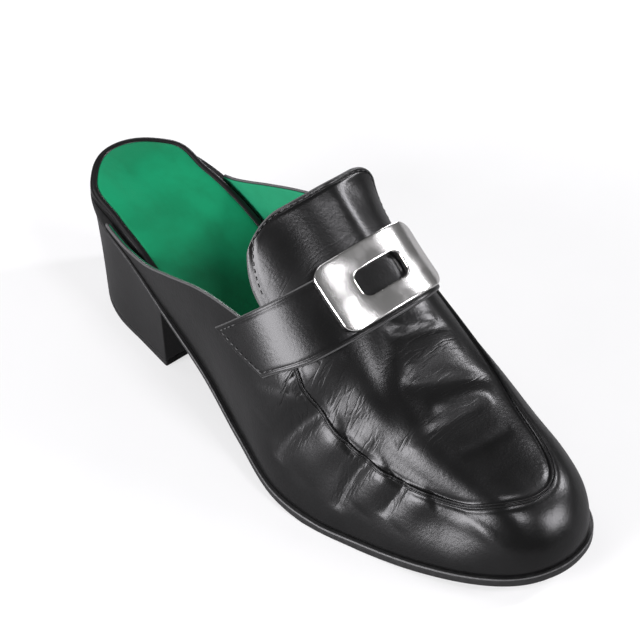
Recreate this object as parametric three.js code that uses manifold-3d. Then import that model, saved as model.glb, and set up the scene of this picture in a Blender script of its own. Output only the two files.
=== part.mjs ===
// A right-foot leather mule with a covered block heel, modelled piece by piece.
// Units are millimetres, +Z is up, the toe points along -Y and the inner (medial) side is +X.
//
// The shape of the last is one function, lastPoint(). It takes a distance from the back of the
// heel, a side, and a girth that runs from 0 at the feather edge to 1 at the ridge. Every piece
// of leather is built from it, so the pieces keep an even gap to each other.
import * as THREE from 'three';
import * as BufferGeometryUtils from 'three/addons/utils/BufferGeometryUtils.js';
import Module from 'manifold-3d';

const wasm = await Module();
wasm.setup();

// ---- driving dimensions -------------------------------------------------------------------

const LAST_LENGTH = 245;
const WALL = 2;
const GAP = 0.3;
const LATERAL = -1;
const MEDIAL = 1;

// How finely the leather is divided: along the foot, up each wall, and across the sole.
const STATIONS = 44;
const GIRTH_STEPS = 12;
const ACROSS = 6;

// The sole's edge stands out past the feather. The footbed steps in where the upper starts.
const SOLE_EDGE = { heel: 0.3, front: 1.5, stepStart: 15, stepEnd: 90 };
const FOOTBED = { thickness: 3, heelInset: -0.3, insideInset: 3.6, stepStart: 12, stepEnd: 32 };

// The heel. Its foot is a share of its seat's width on each side, less towards the breast.
const HEEL = { seatBack: 1, breast: 65.7, footBack: 6.3, inset: 0.3, lift: 2.4, rows: 10 };
const FOOT_SHARE = { lateral: 0.9, medialBack: 0.93, medialBreast: 0.77 };

// The upper's mouth: the top line of each side from its back end, as distance and height, up to
// the throat line under the strap.
const TOP_LINE = {
  lateral: [
    [31, 48], [38, 46.8], [46, 45.9], [59, 47.7], [74, 53.6], [92, 60.7], [106, 64], [119, 65],
    [130, 64],
  ],
  medial: [
    [37, 46.6], [43, 48.2], [51, 51.5], [61, 56], [75, 61.5], [92, 67], [106, 71], [121, 73],
    [134, 68],
  ],
};
const TOP_LINE_STEPS = 28;

// How far the cutters run past the leather.
const CUTTER = { reach: 90, top: 150, overlap: 1 };

// Strap, throat and tongue follow lines that slant over the instep. Such a line's number is its
// distance from the heel less its height.
const THROAT_LINE = 66;
const STRAP = {
  backLine: 54,
  frontLine: 90,
  thickness: 2,
  backEnd: [108, 54.8],
  frontEnd: [137, 50.5],
  frontKnee: [152, 62.5],
};
const TONGUE = {
  wall: 2.4,
  sunk: 0.3,
  frontLine: 64.6,
  lateralGirth: 0.46,
  medialGirth: 0.53,
  end: [0.8, 117.5, 102.8],
  halfWidth: 26.2,
  arch: { distance: 2, height: 3.8 },
  skew: { distance: 2.8, height: 2.4 },
  corner: { share: 0.35, start: 0.6 },
  across: 16,
  underStrap: 4,
  free: 8,
};
const ORNAMENT = {
  centre: [2.5, 149.5, 82.5],
  pitch: 34,
  width: 41,
  height: 27,
  corner: 5,
  window: { width: 19, height: 10, corner: 3 },
  thickness: 2.6,
  reach: 30,
};

// Sections of the last from heel to toe. t is the share of its length. lateral and medial are
// half widths at the feather edge, feather and ridge are heights, and ridgeX is how far the
// ridge leans to the medial side. side and top are the section's exponents, where less is
// squarer, swellL and swellM round the walls out, and sole is the outsole's thickness.
const SECTION_COLUMNS = [
  't', 'lateral', 'medial', 'feather', 'ridge', 'ridgeX', 'side', 'top', 'swellL', 'swellM', 'sole',
];
const SECTIONS = [
  [0.00, 0.0, 0.0, 49.5, 112.0, 0.0, 0.62, 0.62, 0.0, 0.0, 1.8],
  [0.03, 15.0, 15.8, 49.3, 112.0, 0.0, 0.62, 0.62, 0.0, 0.0, 1.8],
  [0.07, 22.8, 22.6, 48.6, 112.0, 0.0, 0.64, 0.64, 0.0, 0.0, 1.8],
  [0.12, 27.6, 25.4, 46.6, 112.0, 0.0, 0.66, 0.66, 0.0, 1.0, 1.8],
  [0.20, 30.2, 26.4, 42.2, 112.0, 1.0, 0.70, 0.70, 1.0, 3.0, 1.9],
  [0.30, 33.2, 25.6, 34.0, 112.0, 2.5, 0.78, 0.78, 2.0, 7.0, 2.1],
  [0.40, 35.8, 25.4, 24.2, 108.0, 4.2, 0.86, 0.80, 3.5, 8.5, 2.5],
  [0.50, 40.4, 28.4, 13.2, 97.5, 5.5, 0.88, 0.80, 3.0, 7.0, 2.9],
  [0.60, 45.0, 34.8, 5.8, 80.0, 6.0, 0.84, 0.82, 0.5, 1.0, 3.4],
  [0.68, 43.2, 39.6, 3.6, 65.5, 5.2, 0.80, 0.82, 0.0, -1.0, 4.0],
  [0.75, 38.6, 40.3, 3.9, 55.0, 4.8, 0.76, 0.82, 0.0, -1.5, 4.0],
  [0.82, 33.4, 38.2, 4.9, 46.2, 4.4, 0.74, 0.80, 0.0, -1.5, 4.0],
  [0.88, 27.7, 34.6, 6.4, 39.8, 4.2, 0.74, 0.80, 0.0, 0.0, 3.9],
  [0.94, 20.0, 28.8, 8.6, 33.2, 4.1, 0.76, 0.80, 0.0, 0.3, 3.8],
  [0.98, 11.6, 19.9, 10.6, 24.8, 4.0, 0.80, 0.84, 0.0, 0.0, 3.7],
  [1.00, -3.9, 3.9, 11.6, 11.6, 3.9, 0.85, 0.85, 0.0, 0.0, 3.6],
];

// ---- the last -----------------------------------------------------------------------------

// Sections are spaced by this angle, so that both ends of the last close round.
function roundAngle(t) {
  return Math.acos(1 - 2 * THREE.MathUtils.clamp(t, 0, 1));
}

// A smooth curve through (xs, ys), with slopes from the neighbouring points.
function smoothCurve(xs, ys) {
  const last = xs.length - 1;
  const run = xs.slice(1).map((x, i) => x - xs[i]);
  const slope = run.map((h, i) => (ys[i + 1] - ys[i]) / h);
  const tangent = xs.map((x, i) => {
    if (i === 0 || i === last) return 0;
    return (slope[i - 1] * run[i] + slope[i] * run[i - 1]) / (run[i - 1] + run[i]);
  });
  tangent[0] = 1.5 * slope[0] - 0.5 * tangent[1];
  tangent[last] = 1.5 * slope[last - 1] - 0.5 * tangent[last - 1];
  return (x) => {
    let i = 0;
    while (i < last - 1 && x >= xs[i + 1]) i += 1;
    const q = (x - xs[i]) / run[i];
    const stay = (1 + 2 * q) * (1 - q) ** 2 * ys[i] + q * q * (3 - 2 * q) * ys[i + 1];
    return stay + run[i] * (q * (1 - q) ** 2 * tangent[i] + q * q * (q - 1) * tangent[i + 1]);
  };
}

const SECTION_ANGLES = SECTIONS.map((row) => roundAngle(row[0]));
const LAST_SIZES = Object.fromEntries(SECTION_COLUMNS.map((name, k) => [
  name,
  smoothCurve(SECTION_ANGLES, SECTIONS.map((row) => row[k])),
]));

function lastSize(name, distance) {
  return LAST_SIZES[name](roundAngle(distance / LAST_LENGTH));
}

// A point of the last's surface.
function lastPoint(distance, side, girth) {
  const ridgeX = lastSize('ridgeX', distance);
  const feather = lastSize('feather', distance);
  const half = side === MEDIAL
    ? lastSize('medial', distance) - ridgeX
    : lastSize('lateral', distance) + ridgeX;
  const swell = lastSize(side === MEDIAL ? 'swellM' : 'swellL', distance);
  const turn = girth * Math.PI / 2;
  const out = half * Math.abs(Math.cos(turn)) ** lastSize('side', distance);
  const up = Math.sin(turn) ** lastSize('top', distance);
  const x = ridgeX + side * (out + swell * Math.sin(2 * turn));
  return new THREE.Vector3(x, -distance, feather + (lastSize('ridge', distance) - feather) * up);
}

// The point where a slanting line of this number crosses the last at a given girth.
function slantPoint(number, side, girth) {
  let near = 60;
  let far = 230;
  for (let i = 0; i < 40; i += 1) {
    const middle = (near + far) / 2;
    if (middle - lastPoint(middle, side, girth).z < number) near = middle;
    else far = middle;
  }
  return lastPoint(near, side, girth);
}

// The feather edge seen from above, moved outwards by an offset. t runs from heel to toe.
function edgePoint(t, side, offset) {
  const at = (share) => {
    const angle = roundAngle(share);
    const name = side === MEDIAL ? 'medial' : 'lateral';
    return new THREE.Vector2(side * LAST_SIZES[name](angle), share * LAST_LENGTH);
  };
  const point = at(t);
  if (t <= 0) return point.add(new THREE.Vector2(0, -offset));
  if (t >= 1) return point.add(new THREE.Vector2(0, offset));
  const step = Math.min(t, 1 - t, 0.004) / 2;
  const along = at(t + step).sub(at(t - step)).normalize();
  return point.add(new THREE.Vector2(side * along.y, -side * along.x).multiplyScalar(offset));
}

// Shares of the last's length that crowd towards its round ends.
function roundShares(from, to, steps) {
  const start = roundAngle(from);
  const end = roundAngle(to);
  return Array.from({ length: steps + 1 }, (_, i) => {
    return (1 - Math.cos(THREE.MathUtils.lerp(start, end, i / steps))) / 2;
  });
}

// ---- solids from grids --------------------------------------------------------------------

// A closed geometry from a list of three-point faces, with its faces turned outwards.
function closedGeometry(faces) {
  const volume = faces.reduce((sum, [a, b, c]) => sum + a.dot(b.clone().cross(c)), 0);
  const turned = volume < 0 ? faces.map(([a, b, c]) => [a, c, b]) : faces;
  const flat = turned.flat().flatMap((point) => point.toArray());
  const soup = new THREE.BufferGeometry();
  soup.setAttribute('position', new THREE.Float32BufferAttribute(flat, 3));
  const geometry = BufferGeometryUtils.mergeVertices(soup, 1e-4);
  const index = geometry.getIndex().array;
  const kept = [];
  for (let i = 0; i < index.length; i += 3) {
    const [a, b, c] = index.slice(i, i + 3);
    if (a !== b && b !== c && c !== a) kept.push(a, b, c);
  }
  geometry.setIndex(kept);
  return geometry;
}

function quad(a, b, c, d) {
  return [[a, b, c], [a, c, d]];
}

// The faces between the rows of a grid.
function gridFaces(rows) {
  const faces = [];
  for (let i = 0; i + 1 < rows.length; i += 1) {
    for (let j = 0; j + 1 < rows[i].length; j += 1) {
      faces.push(...quad(rows[i][j], rows[i][j + 1], rows[i + 1][j + 1], rows[i + 1][j]));
    }
  }
  return faces;
}

// A slab between an upper and a lower grid of the same size, closed round its border.
function slab(upper, lower) {
  const faces = gridFaces(upper);
  faces.push(...gridFaces(lower).map(([a, b, c]) => [a, c, b]));
  const border = (rows) => [
    ...rows[0],
    ...rows.slice(1).map((row) => row.at(-1)),
    ...rows.at(-1).slice(0, -1).reverse(),
    ...rows.slice(1, -1).reverse().map((row) => row[0]),
  ];
  const high = border(upper);
  const low = border(lower);
  high.forEach((point, i) => {
    const next = (i + 1) % high.length;
    faces.push(...quad(point, low[i], low[next], high[next]));
  });
  return closedGeometry(faces);
}

// The faces that fill an outline, each turned the way that the outline runs.
function capFaces(outline) {
  const flat = outline.map((point) => new THREE.Vector2(point.y, point.z));
  const sense = Math.sign(THREE.ShapeUtils.area(flat));
  return THREE.ShapeUtils.triangulateShape(flat, []).map((face) => {
    const turned = Math.sign(THREE.ShapeUtils.area(face.map((k) => flat[k]))) === sense;
    return (turned ? face : [...face].reverse()).map((k) => outline[k]);
  });
}

// A prism between two copies of an outline.
function prism(start, end) {
  const faces = capFaces(start);
  faces.push(...capFaces(end).map(([a, b, c]) => [a, c, b]));
  start.forEach((point, i) => {
    const next = (i + 1) % start.length;
    faces.push(...quad(start[next], point, end[i], end[next]));
  });
  return closedGeometry(faces);
}

function toManifold(geometry) {
  return new wasm.Manifold(new wasm.Mesh({
    numProp: 3,
    vertProperties: new Float32Array(geometry.getAttribute('position').array),
    triVerts: new Uint32Array(geometry.getIndex().array),
  }));
}

function fromManifold(solid) {
  const mesh = solid.getMesh();
  const geometry = new THREE.BufferGeometry();
  geometry.setAttribute('position', new THREE.Float32BufferAttribute(mesh.vertProperties, 3));
  geometry.setIndex(Array.from(mesh.triVerts));
  return geometry;
}

// Unit normals of a grid of points, by the difference of each point's neighbours.
function gridNormals(rows) {
  const clamp = (k, list) => THREE.MathUtils.clamp(k, 0, list.length - 1);
  return rows.map((row, i) => row.map((point, j) => {
    const before = rows[clamp(i - 1, rows)][j];
    const along = rows[clamp(i + 1, rows)][j].clone().sub(before);
    const left = row[clamp(j - 1, row)];
    const over = row[clamp(j + 1, row)].clone().sub(left);
    return along.cross(over).normalize();
  }));
}

function offsetGrid(rows, normals, offset) {
  return rows.map((row, i) => row.map((point, j) => {
    return point.clone().addScaledVector(normals[i][j], offset);
  }));
}

// ---- forms of the last --------------------------------------------------------------------

const FORM_START = 0.06;
const FORM_SHARES = roundShares(FORM_START, 1, STATIONS);

// The last's surface as rows of points, each from the lateral feather over the ridge.
const LAST_ROWS = FORM_SHARES.map((t) => {
  const girths = Array.from({ length: GIRTH_STEPS + 1 }, (_, j) => j / GIRTH_STEPS);
  const lateral = girths.map((girth) => lastPoint(t * LAST_LENGTH, LATERAL, girth));
  const medial = girths.slice(0, -1).map((girth) => lastPoint(t * LAST_LENGTH, MEDIAL, girth));
  return [...lateral, ...medial.reverse()];
});

// Outward normals of those rows. They lie level at the feather edge and point ahead at the toe.
const LAST_NORMALS = gridNormals(LAST_ROWS).map((row, i, all) => row.map((normal, j) => {
  if (i === all.length - 1) return new THREE.Vector3(0, -1, 0);
  const outward = normal.clone();
  if (j === 0 || j === row.length - 1) outward.setZ(0).normalize();
  return outward;
}));

// A closed form of the last, its walls moved outwards by offset and its floor lowered by drop.
function lastForm(offset, drop) {
  const rows = offsetGrid(LAST_ROWS, LAST_NORMALS, offset).map((row) => {
    const ends = [row[0], row.at(-1)].map((point) => point.clone().setZ(point.z - drop));
    return [ends[0], ...row, ends[1]];
  });
  const floor = rows.map((row) => row.map((point, j) => {
    const share = j / (row.length - 1);
    return row[0].clone().lerp(row.at(-1), share);
  }));
  return toManifold(slab(rows, floor));
}

// A prism across the shoe between two values of x, from an outline of distances and heights.
function crossPrism(outline, from, to) {
  const place = (x) => outline.map(([distance, z]) => new THREE.Vector3(x, -distance, z));
  return toManifold(prism(place(from), place(to)));
}

// ---- sole, footbed and heel ---------------------------------------------------------------

// Rows across the shoe between two edges. height gives z for a distance from the heel.
function crossRows(shares, edge, height) {
  return shares.map((t) => {
    const lateral = edge(t, LATERAL);
    const medial = edge(t, MEDIAL);
    return Array.from({ length: ACROSS + 1 }, (_, j) => {
      const point = lateral.clone().lerp(medial, j / ACROSS);
      return new THREE.Vector3(point.x, -point.y, height(point.y));
    });
  });
}

// A size that changes smoothly from its value at the heel over the step that a piece names.
function stepped(t, { stepStart, stepEnd }, heel, front) {
  const step = THREE.MathUtils.smoothstep(t * LAST_LENGTH, stepStart, stepEnd);
  return THREE.MathUtils.lerp(heel, front, step);
}

function soleBottom(distance) {
  return Math.max(0, lastSize('feather', distance) - lastSize('sole', distance));
}

function outsole() {
  const edge = (t, side) => edgePoint(t, side, stepped(t, SOLE_EDGE, SOLE_EDGE.heel, SOLE_EDGE.front));
  const shares = roundShares(0, 1, STATIONS);
  const top = crossRows(shares, edge, (distance) => lastSize('feather', distance) - GAP);
  return slab(top, crossRows(shares, edge, soleBottom));
}

function footbed() {
  const edge = (t, side) => {
    return edgePoint(t, side, -stepped(t, FOOTBED, FOOTBED.heelInset, FOOTBED.insideInset));
  };
  const shares = roundShares(0, 1, STATIONS);
  const board = (lift) => {
    return crossRows(shares, edge, (distance) => lastSize('feather', distance) + lift);
  };
  return slab(board(FOOTBED.thickness), board(0));
}

// The outline of the heel's seat, and of its foot, which is a share of the seat.
function seatEdge(t, side) {
  return edgePoint(t, side, -HEEL.inset);
}

function footEdge(t, side) {
  const seat = seatEdge(t, side);
  const forward = (seat.y - HEEL.seatBack) / (HEEL.breast - HEEL.seatBack);
  const medialShare = THREE.MathUtils.lerp(FOOT_SHARE.medialBack, FOOT_SHARE.medialBreast, forward);
  const share = side === MEDIAL ? medialShare : FOOT_SHARE.lateral;
  const distance = THREE.MathUtils.lerp(HEEL.footBack, HEEL.breast, forward);
  return new THREE.Vector2(seat.x * share, distance);
}

// The edge of the heel at a share of the way from its foot to its seat.
function heelEdge(rise) {
  return (t, side) => footEdge(t, side).lerp(seatEdge(t, side), rise);
}

const HEEL_SHARES = roundShares(0, HEEL.breast / LAST_LENGTH, HEEL.rows);

function heelBlock() {
  const liftShare = HEEL.lift / lastSize('feather', 0);
  const seat = crossRows(HEEL_SHARES, heelEdge(1), (distance) => soleBottom(distance) - GAP);
  return slab(seat, crossRows(HEEL_SHARES, heelEdge(liftShare), () => HEEL.lift + GAP));
}

function topLift() {
  const liftShare = HEEL.lift / lastSize('feather', 0);
  const top = crossRows(HEEL_SHARES, heelEdge(liftShare), () => HEEL.lift);
  return slab(top, crossRows(HEEL_SHARES, heelEdge(0), () => 0));
}

// ---- upper, strap and ornament ------------------------------------------------------------

// The outline of what the mouth removes, on one side of the shoe.
function mouthOutline(points) {
  const line = new THREE.SplineCurve(points.map(([distance, z]) => new THREE.Vector2(distance, z)));
  const smooth = line.getPoints(TOP_LINE_STEPS).map((point) => [point.x, point.y]);
  return [
    [-CUTTER.reach, 0],
    [points[0][0], 0],
    ...smooth,
    [THROAT_LINE + CUTTER.top, CUTTER.top],
    [-CUTTER.reach, CUTTER.top],
  ];
}

function upper() {
  const lateralCut = crossPrism(mouthOutline(TOP_LINE.lateral), -CUTTER.reach, CUTTER.overlap);
  const medialCut = crossPrism(mouthOutline(TOP_LINE.medial), 0, CUTTER.reach);
  const shell = lastForm(0, 0).subtract(lastForm(-WALL, 2 * WALL));
  return fromManifold(shell.subtract(lateralCut).subtract(medialCut));
}

// The layer of space between two distances from the upper's outer face.
function layer(inner, outer) {
  return lastForm(outer, 0).subtract(lastForm(inner, 2 * WALL));
}

function saddleStrap() {
  const outline = [
    STRAP.backEnd,
    STRAP.frontEnd,
    STRAP.frontKnee,
    [STRAP.frontLine + CUTTER.top, CUTTER.top],
    [STRAP.backLine + CUTTER.top, CUTTER.top],
  ];
  const band = layer(GAP, GAP + STRAP.thickness);
  return fromManifold(band.intersect(crossPrism(outline, -CUTTER.reach, CUTTER.reach)));
}

function roundedRectangle(shape, width, height, corner) {
  const x = width / 2;
  const y = height / 2;
  shape.moveTo(x, y - corner);
  shape.absarc(x - corner, y - corner, corner, 0, Math.PI / 2, false);
  shape.absarc(corner - x, y - corner, corner, Math.PI / 2, Math.PI, false);
  shape.absarc(corner - x, corner - y, corner, Math.PI, 1.5 * Math.PI, false);
  shape.absarc(x - corner, corner - y, corner, 1.5 * Math.PI, 2 * Math.PI, false);
  shape.closePath();
  return shape;
}

// A plain frame with one window, cut square to the instep from the layer above the strap.
function ornament() {
  const { width, height, corner, window, reach, centre } = ORNAMENT;
  const outline = roundedRectangle(new THREE.Shape(), width, height, corner);
  outline.holes.push(roundedRectangle(new THREE.Path(), window.width, window.height, window.corner));
  const punch = new THREE.ExtrudeGeometry(outline, {
    depth: reach,
    bevelEnabled: false,
    curveSegments: 5,
  });
  punch.translate(0, 0, -reach / 2);
  punch.rotateX(THREE.MathUtils.degToRad(ORNAMENT.pitch));
  punch.translate(centre[0], -centre[1], centre[2]);
  punch.deleteAttribute('normal');
  punch.deleteAttribute('uv');
  const inner = STRAP.thickness + 2 * GAP;
  const plate = layer(inner, inner + ORNAMENT.thickness);
  return fromManifold(plate.intersect(toManifold(BufferGeometryUtils.mergeVertices(punch, 1e-4))));
}

// ---- tongue -------------------------------------------------------------------------------

// Where the column of the tongue at place (-1 lateral to 1 medial) crosses a slanting line.
function tongueOnLast(number, place) {
  const side = place < 0 ? LATERAL : MEDIAL;
  const low = side === MEDIAL ? TONGUE.medialGirth : TONGUE.lateralGirth;
  return slantPoint(number, side, 1 - Math.abs(place) * (1 - low));
}

// The free end of the tongue is a shallow arch that stands a little higher on the medial side.
function tongueEnd(place) {
  const [x, distance, z] = TONGUE.end;
  return new THREE.Vector3(
    x + place * TONGUE.halfWidth,
    -(distance - TONGUE.arch.distance * place ** 2 + TONGUE.skew.distance * place),
    z - TONGUE.arch.height * place ** 2 + TONGUE.skew.height * place,
  );
}

// How far along the free part a column runs: short of the end at the rounded corners.
function cornerShare(place) {
  const { share, start } = TONGUE.corner;
  const into = Math.max(0, (Math.abs(place) - start) / (1 - start));
  return 1 - share * (1 - Math.sqrt(1 - into ** 2));
}

// A column leaves the last along the surface and bends to the free end.
function tongueColumn(place) {
  const underStrap = Array.from({ length: TONGUE.underStrap }, (_, i) => {
    const share = i / TONGUE.underStrap;
    return tongueOnLast(THREE.MathUtils.lerp(TONGUE.frontLine, STRAP.backLine, share), place);
  });
  const root = tongueOnLast(STRAP.backLine, place);
  const end = tongueEnd(place);
  const leave = root.clone().sub(tongueOnLast(STRAP.backLine + 1, place)).normalize();
  const control = root.clone().addScaledVector(leave, root.distanceTo(end) / 2);
  const bend = new THREE.QuadraticBezierCurve3(root, control, end);
  const free = Array.from({ length: TONGUE.free + 1 }, (_, i) => {
    return bend.getPoint(cornerShare(place) * i / TONGUE.free);
  });
  return [...underStrap, ...free];
}

function tongue() {
  const places = Array.from({ length: TONGUE.across + 1 }, (_, j) => 2 * j / TONGUE.across - 1);
  const columns = places.map(tongueColumn);
  const normals = gridNormals(columns).map((column) => column.map((normal) => {
    return normal.z < 0 ? normal.negate() : normal;
  }));
  const outer = offsetGrid(columns, normals, -TONGUE.sunk);
  return slab(outer, offsetGrid(columns, normals, -TONGUE.sunk - TONGUE.wall));
}

// ---- assembly -----------------------------------------------------------------------------

const BLACK_LEATHER = { color: 0x131315, roughness: 0.28, metalness: 0 };
const PIECES = [
  ['outsole', outsole, { color: 0x1b1b1d, roughness: 0.5, metalness: 0 }],
  ['heel_block', heelBlock, BLACK_LEATHER],
  ['top_lift', topLift, { color: 0x0d0d0e, roughness: 0.8, metalness: 0 }],
  ['insole', footbed, { color: 0x14895f, roughness: 0.55, metalness: 0 }],
  ['upper', upper, BLACK_LEATHER],
  ['tongue', tongue, BLACK_LEATHER],
  ['saddle_strap', saddleStrap, BLACK_LEATHER],
  ['ornament', ornament, { color: 0xd9d9d6, roughness: 0.12, metalness: 1 }],
];

const shoe = new THREE.Group();
for (const [name, build, finish] of PIECES) {
  const mesh = new THREE.Mesh(build(), new THREE.MeshStandardMaterial(finish));
  mesh.name = name;
  shoe.add(mesh);
}

// The origin goes to the middle of the shoe's box, on the ground.
const box = new THREE.Box3().setFromObject(shoe);
const middle = box.getCenter(new THREE.Vector3());
shoe.position.set(-middle.x, -middle.y, -box.min.z);

export default shoe;
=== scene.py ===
"""A right-foot black leather mule with a green footbed, a saddle strap and a covered block heel.

Every piece is worked out in the shoe's own sizes, in millimetres, and turned into metres when its
mesh is made. A place on the shoe is (x, distance, height): x is to the medial side, distance runs
from the back of the last's heel to its toe, and height is above the ground.
"""

from __future__ import annotations

import logging
import math
from dataclasses import dataclass
from enum import Enum
from typing import Callable, Sequence

import bpy
import numpy as np
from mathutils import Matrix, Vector


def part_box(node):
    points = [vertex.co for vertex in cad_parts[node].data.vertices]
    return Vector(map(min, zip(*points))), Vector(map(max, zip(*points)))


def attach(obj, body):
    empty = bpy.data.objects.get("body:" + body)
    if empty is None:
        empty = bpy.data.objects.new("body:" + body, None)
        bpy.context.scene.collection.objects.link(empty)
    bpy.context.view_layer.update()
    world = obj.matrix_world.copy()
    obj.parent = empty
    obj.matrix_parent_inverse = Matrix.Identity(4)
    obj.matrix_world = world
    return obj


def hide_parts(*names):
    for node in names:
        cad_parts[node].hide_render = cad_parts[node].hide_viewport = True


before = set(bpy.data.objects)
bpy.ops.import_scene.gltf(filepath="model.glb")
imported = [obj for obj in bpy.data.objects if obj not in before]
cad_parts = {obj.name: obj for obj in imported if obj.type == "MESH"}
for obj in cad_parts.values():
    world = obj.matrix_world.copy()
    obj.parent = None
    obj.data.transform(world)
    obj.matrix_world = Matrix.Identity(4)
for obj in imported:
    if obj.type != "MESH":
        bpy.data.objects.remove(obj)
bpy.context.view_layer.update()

log = logging.getLogger("mule")

MM = 0.001
BODY = "root"
Array = np.ndarray


class Side(Enum):
    """The two sides of the foot, as the sign of x."""

    LATERAL = -1
    MEDIAL = 1


class Slot(Enum):
    """The record's material slots."""

    SOLE = "sole"
    HEEL = "heel_cover"
    LIFT = "lift"
    FOOTBED = "footbed"
    UPPER = "upper_leather"
    LINING = "lining"
    THREAD = "thread"
    METAL = "polished_metal"


# ---- curves ---------------------------------------------------------------------------------


def smooth_curve(xs: Array, ys: Array, x: Array) -> Array:
    """Cubic curve through (xs, ys): each point's slope is the weighted mean of its two chords.

    Args:
        xs: Places of the points, increasing.
        ys: Values at the points.
        x: Where the curve is wanted.

    Returns:
        The curve's values at x.
    """
    run = np.diff(xs)
    chord = np.diff(ys) / run
    slope = np.empty(len(xs))
    slope[1:-1] = (chord[:-1] * run[1:] + chord[1:] * run[:-1]) / (run[:-1] + run[1:])
    slope[0] = 1.5 * chord[0] - 0.5 * slope[1]
    slope[-1] = 1.5 * chord[-1] - 0.5 * slope[-2]
    i = np.clip(np.searchsorted(xs, x, side="right") - 1, 0, len(xs) - 2)
    q = (x - xs[i]) / run[i]
    stay = (1 + 2 * q) * (1 - q) ** 2 * ys[i] + q * q * (3 - 2 * q) * ys[i + 1]
    return stay + run[i] * (q * (1 - q) ** 2 * slope[i] + q * q * (q - 1) * slope[i + 1])


def through(points: Sequence[Sequence[float]], count: int) -> Array:
    """Catmull-Rom curve through a few points, sampled evenly in its parameter.

    Args:
        points: The points that the curve passes, in order.
        count: Number of samples.

    Returns:
        An array of shape (count, dimensions).
    """
    p = np.array(points, float)
    p = np.vstack([p[:1], p, p[-1:]])
    place = np.linspace(0, len(points) - 1, count)
    i = np.minimum(place.astype(int), len(points) - 2)
    q = (place - i)[:, None]
    a, b, c, d = p[i], p[i + 1], p[i + 2], p[i + 3]
    pull = (c - a) * q + (2 * a - 5 * b + 4 * c - d) * q**2 + (3 * b - a - 3 * c + d) * q**3
    return b + 0.5 * pull


def smoothstep(x: Array, start: float, end: float) -> Array:
    """0 before start, 1 after end, and 3q2 - 2q3 between them."""
    q = np.clip((x - start) / (end - start), 0, 1)
    return q * q * (3 - 2 * q)


def bell(x: Array, centre: float, width: float) -> Array:
    """A soft bump: e to the minus of ((x - centre) / width) squared."""
    return np.exp(-(((x - centre) / width) ** 2))


def unit(v: Array) -> Array:
    """Vectors of length one along the last axis."""
    return v / np.maximum(np.linalg.norm(v, axis=-1, keepdims=True), 1e-12)


def edge_steps(radius: float, arc: int, beyond: Sequence[float] = ()) -> Array:
    """Distances from a rounded edge: even turns round its radius, then any that are named."""
    turn = radius * (1 - np.cos(np.linspace(0, np.pi / 2, arc + 1)))
    return np.concatenate([turn, np.asarray(beyond, float)])


def edge_round(distance: Array, radius: float) -> Array:
    """Share of the full half-thickness at a distance from a rounded edge: a quarter circle."""
    inward = np.clip(1 - distance / radius, 0, 1)
    return np.sqrt(1 - inward**2)


# ---- the last -------------------------------------------------------------------------------


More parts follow.
